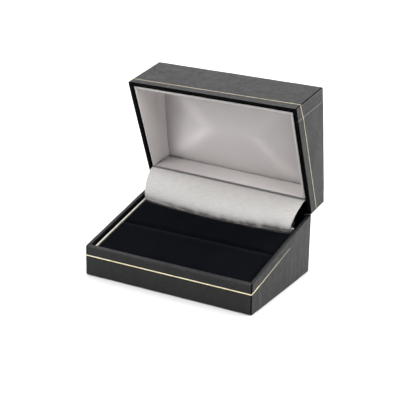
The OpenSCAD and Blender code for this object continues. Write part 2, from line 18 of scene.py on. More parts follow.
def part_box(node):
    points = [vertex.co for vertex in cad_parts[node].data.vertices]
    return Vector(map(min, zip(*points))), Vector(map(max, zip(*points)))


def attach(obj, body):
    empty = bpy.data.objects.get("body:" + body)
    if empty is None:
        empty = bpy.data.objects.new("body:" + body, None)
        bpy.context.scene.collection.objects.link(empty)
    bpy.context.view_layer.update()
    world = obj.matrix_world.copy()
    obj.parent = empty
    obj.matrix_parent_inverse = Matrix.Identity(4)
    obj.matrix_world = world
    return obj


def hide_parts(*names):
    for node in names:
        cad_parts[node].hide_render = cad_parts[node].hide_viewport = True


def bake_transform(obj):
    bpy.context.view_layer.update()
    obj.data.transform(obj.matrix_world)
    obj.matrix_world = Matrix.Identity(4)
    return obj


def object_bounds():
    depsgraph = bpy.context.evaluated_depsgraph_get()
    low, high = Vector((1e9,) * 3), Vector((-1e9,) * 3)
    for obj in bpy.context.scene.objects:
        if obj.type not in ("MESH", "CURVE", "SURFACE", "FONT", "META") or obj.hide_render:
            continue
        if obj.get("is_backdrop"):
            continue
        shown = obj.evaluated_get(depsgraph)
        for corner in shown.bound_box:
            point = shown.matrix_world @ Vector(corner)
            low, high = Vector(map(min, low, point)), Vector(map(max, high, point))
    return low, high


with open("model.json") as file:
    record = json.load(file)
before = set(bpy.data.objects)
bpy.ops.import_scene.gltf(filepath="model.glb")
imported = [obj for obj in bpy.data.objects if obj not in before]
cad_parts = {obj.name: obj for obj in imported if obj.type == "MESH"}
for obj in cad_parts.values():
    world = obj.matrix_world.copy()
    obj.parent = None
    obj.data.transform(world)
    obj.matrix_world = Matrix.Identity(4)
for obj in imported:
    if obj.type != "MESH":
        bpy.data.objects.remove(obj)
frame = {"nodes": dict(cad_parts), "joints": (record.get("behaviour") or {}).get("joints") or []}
cad_low, cad_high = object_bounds()
print("packed model, mm:", [round(v * 1000, 1) for v in cad_high - cad_low])

# %% [markdown]
# ## Sizes
# All lengths below are in millimetres, because that is how such a box is measured, and a mesh is
# scaled to metres once, when it is made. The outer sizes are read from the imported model, so that
# every new piece lands on the shells. The lid is easiest to draw shut, where its walls are upright,
# and is then turned about the hinge pin by the angle at which it stands open.

# %% Sizes of the box
MM = 0.001
joint = frame["joints"][0]
HINGE_Y, HINGE_Z = joint["pos_m"][1] / MM, joint["pos_m"][2] / MM
OPEN_ANGLE = math.radians(joint["range_deg"][1])
HALF_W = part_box("base_cover_front")[1].x / MM        # from the middle to a side
HALF_D = -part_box("base_cover_front")[0].y / MM       # from the middle to the front
FRONT_H = 13.7                                       # height of the base's rim at the front
SHUT_H = 40.3                                        # height of the walls of the shut box
SLOPE = math.atan((HINGE_Z - FRONT_H) / (2 * HALF_D))
RIM_GAP = 0.09                                       # each rim from the plane where they meet
HINGE_GAP = 0.012                                    # the same along the hinge
WALL = 2.1                                           # thickness of a covered wall
CORNER_R = 0.6                                       # radius of an upright corner
HINGE_HALF = 34.4                                    # half of the length that the hinge takes up
hinge_point = Vector((0, HINGE_Y * MM, HINGE_Z * MM))
STAND_OPEN = (Matrix.Translation(hinge_point) @ Matrix.Rotation(-OPEN_ANGLE, 4, "X")
              @ Matrix.Translation(-hinge_point))


def rim_z(y):
    """Height of the plane where the halves meet."""
    return HINGE_Z + (y - HINGE_Y) * math.tan(SLOPE)


print(f"half width {HALF_W:.2f}, half depth {HALF_D:.2f}")
print(f"the meeting plane slopes {math.degrees(SLOPE):.1f} degrees")

# %% [markdown]
# ## The camera
# The camera stands to the right of the box and a little above it, far away with a long lens, as a
# product photographer would do to keep the edges nearly parallel. It is aimed along a direction
# instead of at a target object, because a direction and a roll give the picture exactly.

# %% Camera
camera_data = bpy.data.cameras.new("camera")
camera_data.lens, camera_data.sensor_width = 109.03, 36
camera_data.clip_start, camera_data.clip_end = 0.02, 20
camera = bpy.data.objects.new("camera", camera_data)
bpy.context.scene.collection.objects.link(camera)
looks_along = Vector((-0.45418, 0.82109, -0.34574))
camera.location = (0.2515, -0.4468, 0.2196)
camera_roll = Matrix.Rotation(math.radians(1.174), 3, "Z").to_quaternion()
camera.rotation_mode = "QUATERNION"
camera.rotation_quaternion = looks_along.to_track_quat("-Z", "Y") @ camera_roll
bpy.context.scene.camera = camera
print("camera is", round(camera.location.length, 3), "m from the box")

# %% [markdown]
# ## Light and floor
# Black leatherette shows hardly any colour of its own. What the eye sees on it is the room,
# reflected the more the flatter one looks across the surface. So the room is a soft white tent that
# is bright behind the box and dim in front of it, with a pale floor. The faces seen at a flat angle
# turn grey, and the front of the box, which is seen straight on, stays dark. Five soft lamps add the
# rest: one overhead, three in front that model the satins and the grain, and one behind the box that
# keeps the floor there white.

# %% Surround, lamps and floor
FRONT_GLOW, BACK_GLOW = 0.12, 1.68       # strength of the tent in front of the box, and behind it
DARK_UP_TO, BRIGHT_FROM = -0.4, 0.6      # it changes between these; -1 is the front and 1 the back
world = bpy.data.worlds.new("tent")
bpy.context.scene.world = world
world.use_nodes = True
tent = world.node_tree
looks = tent.nodes.new("ShaderNodeTexCoord").outputs["Generated"]
towards_back = tent.nodes.new("ShaderNodeVectorMath")
towards_back.operation = "DOT_PRODUCT"
towards_back.inputs[1].default_value = Vector((0.25, 0.9, 0.35)).normalized()
tent.links.new(looks, towards_back.inputs[0])
brightness = tent.nodes.new("ShaderNodeMapRange")
for socket, value in zip(brightness.inputs[1:5], (DARK_UP_TO, BRIGHT_FROM, FRONT_GLOW, BACK_GLOW)):
    socket.default_value = value
tent.links.new(towards_back.outputs["Value"], brightness.inputs[0])
tent.nodes["Background"].inputs["Color"].default_value = (1.0, 0.995, 0.985, 1)
tent.links.new(brightness.outputs[0], tent.nodes["Background"].inputs["Strength"])
bpy.context.scene.view_settings.view_transform = "Standard"


def soft_lamp(name, place, target, size, watts, colour=(1, 1, 1)):
    """A square lamp that faces a point."""
    lamp = bpy.data.lights.new(name, "AREA")
    lamp.size, lamp.energy, lamp.color = size, watts, colour
    holder = bpy.data.objects.new(name, lamp)
    holder.location = place
    holder.rotation_euler = (Vector(target) - Vector(place)).to_track_quat("-Z", "Y").to_euler()
    bpy.context.scene.collection.objects.link(holder)


soft_lamp("lamp_overhead", (0.0, 0.1, 1.0), (0, 0, 0.03), 0.8, 2.0)
soft_lamp("lamp_front_left", (-0.66, -0.74, 0.40), (0, 0, 0.05), 0.42, 2.8)
soft_lamp("lamp_front_top", (-0.30, -0.80, 0.85), (0, 0, 0.05), 0.35, 5.4)
soft_lamp("lamp_front_right", (0.85, -0.45, 0.6), (0, 0, 0.05), 0.4, 2.6)
soft_lamp("lamp_on_floor_behind", (0.6, 0.9, 0.8), (0.3, 0.4, 0.0), 0.7, 9.5)


def plain_floor(radius=3.0):
    """A wide round floor."""
    mesh = bpy.data.meshes.new("floor")
    turns = np.linspace(0, 2 * math.pi, 64, endpoint=False)
    ring = [(radius * math.cos(a), radius * math.sin(a), 0) for a in turns]
    mesh.from_pydata(ring, [], [list(range(len(ring)))])
    floor = bpy.data.objects.new("floor", mesh)
    bpy.context.scene.collection.objects.link(floor)
    paint = bpy.data.materials.new("pale_floor")
    paint.use_nodes = True
    shader = paint.node_tree.nodes["Principled BSDF"]
    shader.inputs["Base Color"].default_value = (0.87, 0.87, 0.87, 1)
    shader.inputs["Roughness"].default_value = 0.9
    mesh.materials.append(paint)
    floor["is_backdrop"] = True


plain_floor()

# %% [markdown]
# ## Tools for materials
# Each finish here is painted by nodes. Several finishes share an effect: the pebbled grain of the
# leatherette, the fine threads of the satins, the rubbed edges of a well-handled box, which on the
# leatherette's rims and corners also carry painted highlight, and specks of lint. Each of these is
# a group, built once, with named inputs, so that one place mends them all.
# A group only gives out masks, values and colours. The shader itself stays in the material.

# %% Helpers for nodes
def effect(name, inputs, outputs):
    """An empty node group with these sockets, and its two ends."""
    tree = bpy.data.node_groups.new(name, "ShaderNodeTree")
    for socket, kind, value in inputs:
        made = tree.interface.new_socket(socket, in_out="INPUT", socket_type="NodeSocket" + kind)
        if value is not None:
            made.default_value = value
    for socket, kind in outputs:
        tree.interface.new_socket(socket, in_out="OUTPUT", socket_type="NodeSocket" + kind)
    return tree, tree.nodes.new("NodeGroupInput"), tree.nodes.new("NodeGroupOutput")


def put(tree, kind, settings=None, **links):
    """Adds a node. Links are socket names, or numbers after an underscore, to a value or a socket."""
    node = tree.nodes.new(kind)
    for key, value in (settings or {}).items():
        setattr(node, key, value)
    for key, value in links.items():
        socket = node.inputs[int(key[1:])] if key[0] == "_" else node.inputs[key.replace("_", " ")]
        if isinstance(value, bpy.types.NodeSocket):
            tree.links.new(value, socket)
        else:
            socket.default_value = value
    return node


def maths(tree, operation, a, b=0.0, clamp=False):
    """One step of arithmetic on values or sockets."""
    return put(tree, "ShaderNodeMath", {"operation": operation, "use_clamp": clamp}, _0=a, _1=b).outputs[0]


def spread(tree, value, low, high, to_low=0.0, to_high=1.0):
    """Maps a range to another, and holds it there."""
    return put(tree, "ShaderNodeMapRange", None, Value=value, From_Min=low, From_Max=high,
               To_Min=to_low, To_Max=to_high).outputs[0]


def mixed(tree, share, a, b):
    """Mixes two colours."""
    node = tree.nodes.new("ShaderNodeMix")
    node.data_type = "RGBA"
    for socket, value in ((node.inputs[0], share), (node.inputs[6], a), (node.inputs[7], b)):
        if isinstance(value, bpy.types.NodeSocket):
            tree.links.new(value, socket)
        else:
            socket.default_value = value
    return node.outputs[2]


def group(tree, source, **links):
    """Uses a shared effect in a material, and gives its outputs."""
    return put(tree, "ShaderNodeGroup", {"node_tree": source}, **links).outputs


print("helpers for nodes:", [helper.__name__ for helper in (effect, put, maths, spread, mixed, group)])


# %% Helpers for materials
def new_material(name, **plain):
    """A material with its shader; plain values are set on the shader's own sockets."""
    made = bpy.data.materials.new(name)
    made.use_nodes = True
    shader = made.node_tree.nodes["Principled BSDF"]
    for key, value in plain.items():
        shader.inputs[key.replace("_", " ")].default_value = value
    return made, made.node_tree, shader


def place_on_object(tree):
    """The place on the piece, in metres, which doesn't move when the piece does."""
    return tree.nodes.new("ShaderNodeTexCoord").outputs["Object"]


def mark_on_mesh(tree, name):
    """A number that was stored at each point of the mesh."""
    return put(tree, "ShaderNodeAttribute", {"attribute_name": name}).outputs["Fac"]


def coloured(tree, shader, colour):
    """Feeds a mixed colour to the shader."""
    tree.links.new(colour, shader.inputs["Base Color"])


def bumped(tree, shader, height, distance, strength):
    """Turns a height into a relief, so deep in metres."""
    bump = put(tree, "ShaderNodeBump", None, Height=height, Distance=distance, Strength=strength)
    tree.links.new(bump.outputs["Normal"], shader.inputs["Normal"])


print("helpers for materials:", [helper.__name__ for helper in (new_material, place_on_object, mark_on_mesh,
                                                                coloured, bumped)])


# %% Effect: embossed grain
def build_grain():
    """Pebbles between fine creases, as embossed into leatherette paper. Cell is their size in mm."""
    tree, given, out = effect("pebbled_grain", [("Place", "Vector", None), ("Cell", "Float", 0.5)],
                              [("Height", "Float"), ("Crease", "Float")])
    place = given.outputs["Place"]
    size = maths(tree, "DIVIDE", 1.0 / MM, given.outputs["Cell"])
    cells = put(tree, "ShaderNodeTexVoronoi", {"feature": "DISTANCE_TO_EDGE"}, Vector=place, Scale=size)
    finer = maths(tree, "MULTIPLY", size, 2.3)
    fibre = put(tree, "ShaderNodeTexNoise", None, Vector=place, Scale=finer, Detail=3.0)
    dome = spread(tree, cells.outputs[0], 0.0, 0.28)
    height = maths(tree, "ADD", maths(tree, "MULTIPLY", dome, 0.7),
                   maths(tree, "MULTIPLY", fibre.outputs[0], 0.3))
    tree.links.new(height, out.inputs["Height"])
    tree.links.new(maths(tree, "SUBTRACT", 1.0, dome), out.inputs["Crease"])
    return tree


GRAIN = build_grain()
print("effect:", GRAIN.name)


# %% Effect: threads of a satin
def build_threads():
    """Long fine threads along U of the flat cloth, in mm, with slubs and a faint cross weave."""
    cross_pitch = 0.35
    tree, given, out = effect("fine_threads",
                              [("Flat", "Vector", None), ("Pitch", "Float", 0.3), ("Length", "Float", 12.0)],
                              [("Height", "Float"), ("Streak", "Float")])
    parts = put(tree, "ShaderNodeSeparateXYZ", None, Vector=given.outputs["Flat"])
    along = maths(tree, "DIVIDE", parts.outputs[0], given.outputs["Length"])
    across = maths(tree, "DIVIDE", parts.outputs[1], given.outputs["Pitch"])
    place = put(tree, "ShaderNodeCombineXYZ", None, X=along, Y=across)
    thread = put(tree, "ShaderNodeTexNoise", None, Vector=place.outputs[0], Scale=1.0, Detail=2.0)
    cross = maths(tree, "SINE", maths(tree, "MULTIPLY", parts.outputs[0], 2 * math.pi / cross_pitch))
    height = maths(tree, "ADD", thread.outputs[0], maths(tree, "MULTIPLY", cross, 0.08))
    tree.links.new(height, out.inputs["Height"])
    tree.links.new(spread(tree, thread.outputs[0], 0.3, 0.7), out.inputs["Streak"])
    return tree


THREADS = build_threads()
print("effect:", THREADS.name)


# %% Effects: rubbed edges and lint
def build_rubbed_and_lit():
    """Where hands and shelves have rubbed, and painted highlight on the leatherette's rims and corners: the
    mark on the mesh, broken up by patches.
    """
    tree, given, out = effect("rubbed_and_highlit_edges",
                              [("Place", "Vector", None), ("Mark", "Float", 0.0), ("Patch", "Float", 4.0)],
                              [("Mask", "Float"), ("Smudge", "Float")])
    place = given.outputs["Place"]
    size = maths(tree, "DIVIDE", 1.0 / MM, given.outputs["Patch"])
    patch = put(tree, "ShaderNodeTexNoise", None, Vector=place, Scale=size, Detail=4.0, Roughness=0.6)
    broken_up = spread(tree, patch.outputs[0], 0.25, 0.65, 0.35, 1.0)
    worn = maths(tree, "MULTIPLY", given.outputs["Mark"], broken_up)
    wider = maths(tree, "MULTIPLY", size, 0.25)
    broad = put(tree, "ShaderNodeTexNoise", None, Vector=place, Scale=wider, Detail=2.0)
    tree.links.new(worn, out.inputs["Mask"])
    tree.links.new(spread(tree, broad.outputs[0], 0.35, 0.65), out.inputs["Smudge"])
    return tree


def build_lint():
    """A few pale specks, about as far apart as Apart says, in mm."""
    tree, given, out = effect("lint",
                              [("Place", "Vector", None), ("Apart", "Float", 5.0), ("Amount", "Float", 0.5)],
                              [("Mask", "Float")])
    size = maths(tree, "DIVIDE", 1.0 / MM, given.outputs["Apart"])
    specks = put(tree, "ShaderNodeTexVoronoi", {"feature": "F1"}, Vector=given.outputs["Place"], Scale=size)
    near = spread(tree, specks.outputs["Distance"], 0.02, 0.06, 1.0, 0.0)
    tree.links.new(maths(tree, "MULTIPLY", near, given.outputs["Amount"], True), out.inputs["Mask"])
    return tree


RUBBED_AND_LIT, LINT = build_rubbed_and_lit(), build_lint()
print("effects:", RUBBED_AND_LIT.name, LINT.name)

# %% [markdown]
# ## The leatherette
# The real sheets are paper-backed leatherette, about 0.4 mm thick, glued over the board. One way to
# paint it is a picture of leather, but that blurs up close. Here the pebbles are worked out from
# the place on the box, at their true size of 0.7 mm. Rubbed edges turn greyer, and the rims and
# corners also get painted highlight. The folds at the corners, the paper turned in over the rim and
# the whole rim of the lid get painted shade: they are darker, and most of them take a darker copy
# of the leatherette without shine.

# %% Leatherette, its cut edge, and the gold foil
def leatherette_paint(name, gloss, depth=1.0):
    """gloss says how much the paper mirrors the room, and depth scales its own near black."""
    made, tree, shader = new_material(name, Roughness=0.5, IOR=1.375, Specular_IOR_Level=gloss)
    place = place_on_object(tree)
    grain = group(tree, GRAIN, Place=place, Cell=0.7)
    rubbed_and_lit = group(tree, RUBBED_AND_LIT, Place=place, Mark=mark_on_mesh(tree, "rub_and_highlight"), Patch=2.6)
    dust = group(tree, LINT, Place=place, Apart=3.1, Amount=0.35)
    pebble = [depth * v for v in (0.0046, 0.005, 0.006)] + [1]
    between = [depth * v for v in (0.0018, 0.0018, 0.002)] + [1]
    tone = mixed(tree, grain["Crease"], pebble, between)
    tone = mixed(tree, maths(tree, "MULTIPLY", rubbed_and_lit["Smudge"], 0.15), tone, (0.014, 0.0145, 0.016, 1))
    # Paler grey where rubbed, and painted highlight along the rims and at the corners
    tone = mixed(tree, maths(tree, "MULTIPLY", rubbed_and_lit["Mask"], 0.5), tone, (0.060, 0.061, 0.063, 1))
    # Painted shade: near black in the corner folds and on the mitres of the rim
    tone = mixed(tree, mark_on_mesh(tree, "fold_shade"), tone, (0.0025, 0.0025, 0.003, 1))
    tone = mixed(tree, mark_on_mesh(tree, "cut"), tone, (0.30, 0.29, 0.27, 1))
    tone = mixed(tree, maths(tree, "MULTIPLY", dust["Mask"], 0.1), tone, (0.2, 0.2, 0.2, 1))
    coloured(tree, shader, tone)
    upright = put(tree, "ShaderNodeMapping", None, Vector=place, Scale=(420, 420, 45))
    wiped = put(tree, "ShaderNodeTexNoise", None, Vector=upright.outputs[0], Scale=1.0, Detail=3.0)
    rough = maths(tree, "ADD", 0.28, maths(tree, "MULTIPLY", rubbed_and_lit["Smudge"], 0.04))
    rough = maths(tree, "ADD", rough, spread(tree, wiped.outputs[0], 0.3, 0.7, 0.0, 0.11))
    rough = maths(tree, "ADD", rough, maths(tree, "MULTIPLY", grain["Crease"], 0.25))
    tree.links.new(rough, shader.inputs["Roughness"])
    bumped(tree, shader, grain["Height"], 0.00017, 0.8)
    return made


def cut_edge_paint():
    """The grey paper core, which shows where a sheet is cut."""
    made, tree, shader = new_material("leatherette_cut_edge", Roughness=0.8)
    fibre = put(tree, "ShaderNodeTexNoise", None, Vector=place_on_object(tree), Scale=6000.0, Detail=3.0)
    coloured(tree, shader, mixed(tree, fibre.outputs[0], (0.07, 0.07, 0.07, 1), (0.25, 0.24, 0.22, 1)))
    return made


def foil_paint():
    """Pale gold that turns dark and dull where the mark says that it is rubbed."""
    made, tree, shader = new_material("pale_gold_foil", Metallic=0.9, Roughness=0.3)
    place = place_on_object(tree)
    rubbed_and_lit = group(tree, RUBBED_AND_LIT, Place=place, Mark=mark_on_mesh(tree, "rub_and_highlight"), Patch=0.9)
    gold = mixed(tree, rubbed_and_lit["Smudge"], (0.80, 0.69, 0.44, 1), (0.93, 0.86, 0.64, 1))
    coloured(tree, shader, mixed(tree, rubbed_and_lit["Mask"], gold, (0.05, 0.048, 0.042, 1)))
    tree.links.new(spread(tree, rubbed_and_lit["Mask"], 0.0, 1.0, 0.85, 0.0), shader.inputs["Metallic"])
    grain = group(tree, GRAIN, Place=place, Cell=0.42)
    tree.links.new(spread(tree, grain["Crease"], 0.0, 1.0, 0.26, 0.5), shader.inputs["Roughness"])
    bumped(tree, shader, grain["Height"], 0.00004, 0.4)
    return made


LEATHERETTE = leatherette_paint("black_leatherette", 0.5)
PAINTED_SHADE_LEATHERETTE = leatherette_paint("painted_shade_leatherette", 0.02, 0.3)    # a darker copy without shine: painted shade
CUT_EDGE, FOIL = cut_edge_paint(), foil_paint()
print("covering finishes:", [m.name for m in (LEATHERETTE, PAINTED_SHADE_LEATHERETTE, CUT_EDGE, FOIL)])

# %% [markdown]
# ## Sheets from rows of points
# Every sheet on this box, stiff or soft, is a grid of points laid over a form, so one helper turns
# rows of points into a mesh. It keeps the flat size of the sheet as its map, and it takes marks,
# which are numbers at each point that the materials read. Working this way gives even quads, which
# bend and shade well, and it takes no modelling by hand.

# %% Grid helper
def grid_piece(name, points, paint, marks=None, faces_out=(0, 0, 1), keep=None, turned=False, thick=0.0,
               rim_paint=None, roughen=0.0, rough_size=9.0, second=None, second_faces=None):
    """A piece from an array of points (rows, columns, 3) in mm. faces_out is where its front looks,
    keep the faces that aren't cut out, and turned stands a piece of the lid open. roughen moves the
    points a little, in waves of rough_size, and second is the paint of the faces in second_faces."""
    nu, nv = points.shape[:2]
    index = np.arange(nu * nv).reshape(nu, nv)
    faces = np.stack([index[:-1, :-1], index[1:, :-1], index[1:, 1:], index[:-1, 1:]], -1)
    faces = faces.reshape(-1, 4) if keep is None else faces[keep]
    step_u = np.linalg.norm(np.diff(points, axis=0), axis=2)
    step_v = np.linalg.norm(np.diff(points, axis=1), axis=2)
    u = np.concatenate([np.zeros((1, nv)), np.cumsum(step_u, axis=0)])
    v = np.concatenate([np.zeros((nu, 1)), np.cumsum(step_v, axis=1)], axis=1)
    u, v = (u - u[nu // 2]).reshape(-1), v.reshape(-1)
    mesh = bpy.data.meshes.new(name)
    mesh.from_pydata(points.reshape(-1, 3).tolist(), [], faces.tolist())
    flat_map = mesh.uv_layers.new(name="flat")
    loop_points = np.empty(len(mesh.loops), np.int32)
    mesh.loops.foreach_get("vertex_index", loop_points)
    flat_places = np.stack([u[loop_points], v[loop_points]], -1).astype(np.float32)
    flat_map.data.foreach_set("uv", flat_places.ravel())
    for key, values in (marks or {}).items():
        mark = mesh.attributes.new(key, "FLOAT", "POINT")
        mark.data.foreach_set("value", np.broadcast_to(values, (nu, nv)).astype(np.float32).ravel())
    work = bmesh.new()
    work.from_mesh(mesh)
    bmesh.ops.delete(work, geom=[p for p in work.verts if not p.link_faces], context="VERTS")
    if sum((f.normal * f.calc_area() for f in work.faces), Vector()).dot(Vector(faces_out)) < 0:
        bmesh.ops.reverse_faces(work, faces=work.faces)
    work.normal_update()
    if roughen:
        for p in work.verts:
            p.co += p.normal * roughen * noise.noise(p.co / rough_size + Vector((3.1, 7.7, 1.3)))
    for f in work.faces:
        f.smooth = True
    work.to_mesh(mesh)
    work.free()
    mesh.transform(Matrix.Scale(MM, 4))
    if turned:
        mesh.transform(STAND_OPEN)
    mesh.materials.append(paint)
    if rim_paint:
        mesh.materials.append(rim_paint)
    if second:
        mesh.materials.append(second)
        chosen = second_faces.reshape(-1) if keep is None else second_faces[keep]
        slots = np.where(chosen, len(mesh.materials) - 1, 0).astype(np.int32)
        mesh.polygons.foreach_set("material_index", slots)
    piece = bpy.data.objects.new(name, mesh)
    bpy.context.scene.collection.objects.link(piece)
    if thick:
        solid = piece.modifiers.new("thickness", "SOLIDIFY")
        solid.thickness, solid.offset = thick * MM, -1
        solid.material_offset_rim = 1 if rim_paint else 0
    return piece


print("a grid of points in mm becomes a mesh in metres, at", MM, "to one")

# %% [markdown]
# ## Letting soft pieces settle
# Foam and wadding press outwards on the cloth that is drawn over them, and that push rounds a padded
# piece. It could be sculpted by hand. Here the cloth solver does it: the glued edges are held, a
# pressure blows the rest up for a moment, and only a small move is kept, because the covers of so
# small a box are tight. The solver is unsteady on lengths of a few millimetres, so it works on a
# copy at ten times the size.

# %% Let the soft pieces settle
BLOW_SCALE, BLOW_FRAMES, BLOW_PRESSURE = 10, 20, 4.0     # size of the copy, for how long, and how hard


def settle(piece, free, cap, only=None):
    """Blows the piece up a little as cloth, and keeps at most cap mm of it. free says for each point
    whether it may move; only is a direction that it keeps to."""
    trial = bpy.data.objects.new("trial", piece.data.copy())
    trial.data.transform(Matrix.Scale(BLOW_SCALE, 4))
    bpy.context.scene.collection.objects.link(trial)
    held = trial.vertex_groups.new(name="held")
    held.add([k for k, moves in enumerate(free) if not moves], 1.0, "REPLACE")
    cloth = trial.modifiers.new("cloth", "CLOTH")
    cloth.settings.quality, cloth.settings.mass = 5, 0.3
    cloth.settings.use_pressure, cloth.settings.uniform_pressure_force = True, BLOW_PRESSURE
    cloth.settings.effector_weights.gravity = 0.0
    cloth.settings.vertex_group_mass = "held"
    cloth.collision_settings.use_collision = cloth.collision_settings.use_self_collision = False
    cloth.point_cache.frame_start, cloth.point_cache.frame_end = 1, BLOW_FRAMES
    for step in range(1, BLOW_FRAMES + 1):
        bpy.context.scene.frame_set(step)
    blown = trial.evaluated_get(bpy.context.evaluated_depsgraph_get()).data
    largest = 0.0
    for old, new, at, moves in zip(trial.data.vertices, blown.vertices, piece.data.vertices, free):
        move = (new.co - old.co) / BLOW_SCALE if moves else Vector()
        if only is not None:
            move = only * max(0.0, move.dot(only))
        if move.length > cap * MM:
            move *= cap * MM / move.length
        at.co += move
        largest = max(largest, move.length / MM)
    bpy.context.scene.frame_set(1)
    spent = trial.data
    bpy.data.objects.remove(trial)
    bpy.data.meshes.remove(spent)
    print(piece.name, "settled, moving up to", round(largest, 2), "mm")


# %% [markdown]
# ## Covering a half of the box
# A maker wraps the front sheet first. It returns round both front corners for a few millimetres,
# and the side sheets are laid over those returns, so each side shows a seam. All of them are folded
# in over the rim and under the bottom, with a mitre at the corners of the rim. The code does the
# same: it walks along the sheet (the spots), and at each spot it runs over the edge of the wall from
# the turned-under margin, up the wall, over the rounded rim and down inside (the steps).

# %% Walking round the walls
LEAST_R = 0.15                  # inside the corner, the radius gets no smaller than this
DRAWN_IN = 5.6                  # how much of a wall is drawn in with its corner
SEAM_FRONT, SEAM_BACK_BASE, SEAM_BACK_LID = 6.5, 10.5, 6.5      # how far a sheet returns round its corner


def corner_place(sx, sy, degrees, inset):
    """On a rounded corner: 0 degrees looks to the side, 90 to the front or back."""
    r = max(CORNER_R - inset, LEAST_R)
    a = math.radians(degrees)
    return sx * (HALF_W - inset - r + r * math.cos(a)), sy * (HALF_D - inset - r + r * math.sin(a))


def squeezed(value, half, inset):
    """Keeps the middle of a wall in place and draws its ends in with the corners."""
    start, stop = half - CORNER_R, half - inset - max(CORNER_R - inset, LEAST_R)
    knee = start - DRAWN_IN
    if abs(value) <= knee:
        return value
    return math.copysign(knee + (abs(value) - knee) * (stop - knee) / DRAWN_IN, value)


def long_wall(sy, x):
    """A spot on the front or back wall: a rule that gives its place at any inset from the outer face."""
    return lambda inset: (squeezed(x, HALF_W, inset), sy * (HALF_D - inset))


def side_wall(sx, y):
    """The same on a side wall."""
    return lambda inset: (sx * (HALF_W - inset), squeezed(y, HALF_D, inset))


def round_corner(sx, sy, degrees):
    """The same on a corner."""
    return lambda inset: corner_place(sx, sy, degrees, inset)


def wrapped_spots(sy, seam):
    """Spots of a front (sy -1) or back (sy 1) sheet, from seam to seam. Each comes with its distance
    from the corner and the wall that it is on."""
    edge_y, edge_x = HALF_D - CORNER_R, HALF_W - CORNER_R
    down = np.linspace(HALF_D - seam, edge_y, 14)
    turns = (0, 12, 25, 37, 44, 46, 53, 65, 78, 90)
    closer = [HINGE_HALF - 0.1, HINGE_HALF + 0.1, 40.05, 40.3]      # beside the hinge's ends and the corners
    xs = np.concatenate([np.linspace(-edge_x, edge_x, 72), closer, [-x for x in closer]])
    xs = sorted(set(np.round(xs, 3)))
    spots = [(side_wall(-1, sy * y), HALF_D - y, "side") for y in down[:-1]]
    spots += [(round_corner(-1, sy, d), 0.0, "side" if d < 45 else "front") for d in turns]
    spots += [(long_wall(sy, x), HALF_W - abs(x), "front") for x in xs[1:-1]]
    spots += [(round_corner(1, sy, d), 0.0, "front" if d > 45 else "side") for d in reversed(turns)]
    spots += [(side_wall(1, sy * y), HALF_D - y, "side") for y in reversed(down[:-1])]
    return spots


def side_spots(sx, front_seam, back_seam):
    """Spots of a side sheet, from front to back, with one more close to each of its cut ends."""
    ys = np.linspace(-HALF_D + front_seam, HALF_D - back_seam, 56)
    ys = np.insert(ys, [1, -1], [ys[0] + 0.25, ys[-1] - 0.25])
    return [(side_wall(sx, y), HALF_D - abs(y), "side") for y in ys]


print("spots along a front sheet:", len(wrapped_spots(-1, SEAM_FRONT)))

# %% Running over the edge of a wall
END_R, IN_R = 0.45, 0.5         # radius where the sheet turns under, and where it turns down inside
LIP_R, HINGE_LIP_R = 0.34, 0.05     # radius of the rim's outer edge, and the same along the hinge
UNDER_Z = 0.2                   # height of the base's turned-under margin
BELOW_LIP = 1.4                 # the flat of the wall ends so far below the rim


def edge_steps():
    """Steps of a covering: (inset, kind, value). Kinds: 'end' is up from the far edge, 'wall' a share
    of the wall, 'rim' down from the rim, and 'lip' on the rounded outer edge of the rim, in shares of
    its radius there."""
    steps = [(n, "end", 0.0) for n in (6.0, 4.0, 2.2, 1.1)]
    steps += [(END_R * (1 - math.sin(a)), "end", END_R * (1 - math.cos(a)))
              for a in np.radians([0, 18, 36, 54, 72])]
    steps += [(0.0, "wall", f) for f in np.linspace(0, 1, 12)]
    steps += [(0.0, "rim", d) for d in (1.15, 0.8)]
    steps += [(1 - math.cos(a), "lip", 1 - math.sin(a)) for a in np.radians([0, 18, 36, 54, 72, 90])]
    steps += [(n, "rim", 0.0) for n in (0.95, 1.25)]
    steps += [(WALL - IN_R * (1 - math.sin(a)), "rim", IN_R * (1 - math.cos(a)))
              for a in np.radians([0, 22, 45, 68, 90])]
    steps += [(WALL, "rim", d) for d in (0.62, 1.2, 2.2, 3.8, 6.0)]
    return steps


STEPS = edge_steps()


def near_hinge(y):
    """0 over most of the box and 1 along the back, where the halves meet edge to edge."""
    return min(1.0, max(0.0, (y - HALF_D + 4.5) / 3.5))


def rim_gap(y):
    """From the rim to the plane where the halves meet."""
    return RIM_GAP + (HINGE_GAP - RIM_GAP) * near_hinge(y)


def wall_place(spot, inset, kind, value, half):
    """One point of a covering. half is 1 for the base and -1 for the lid, which is drawn shut."""
    far = UNDER_Z if half > 0 else SHUT_H
    if kind == "lip":
        radius = LIP_R + (HINGE_LIP_R - LIP_R) * near_hinge(spot(0)[1])
        inset, value = inset * radius, value * radius
    x, y = spot(inset)
    rim = rim_z(y) - half * rim_gap(y) / math.cos(SLOPE)
    if kind == "end":
        return x, y, far + half * value
    if kind == "wall":
        low, high = far + half * END_R, rim - half * BELOW_LIP
        return x, y, low + (high - low) * value
    return x, y, rim - half * value


print("steps over the edge of a wall:", len(STEPS))


# %% What happens at which step
def on_steps(rule):
    """1 at each step for which the rule holds, and 0 at the others."""
    return np.array([1.0 if rule(n, kind, v) else 0.0 for n, kind, v in STEPS])


NEAR_RIM = on_steps(lambda n, kind, v: kind == "lip" or kind == "rim" and 0 < n < WALL - 0.01 and v < 0.7)
NEAR_END = on_steps(lambda n, kind, v: kind == "end" and n < 1.0)
ON_WALL = on_steps(lambda n, kind, v: n < 0.5 or kind == "lip")
ON_RIM = on_steps(lambda n, kind, v: kind == "lip" or kind == "rim" and n > 0.3)
TURNED_IN = on_steps(lambda n, kind, v: kind == "rim" and n > 1.5)
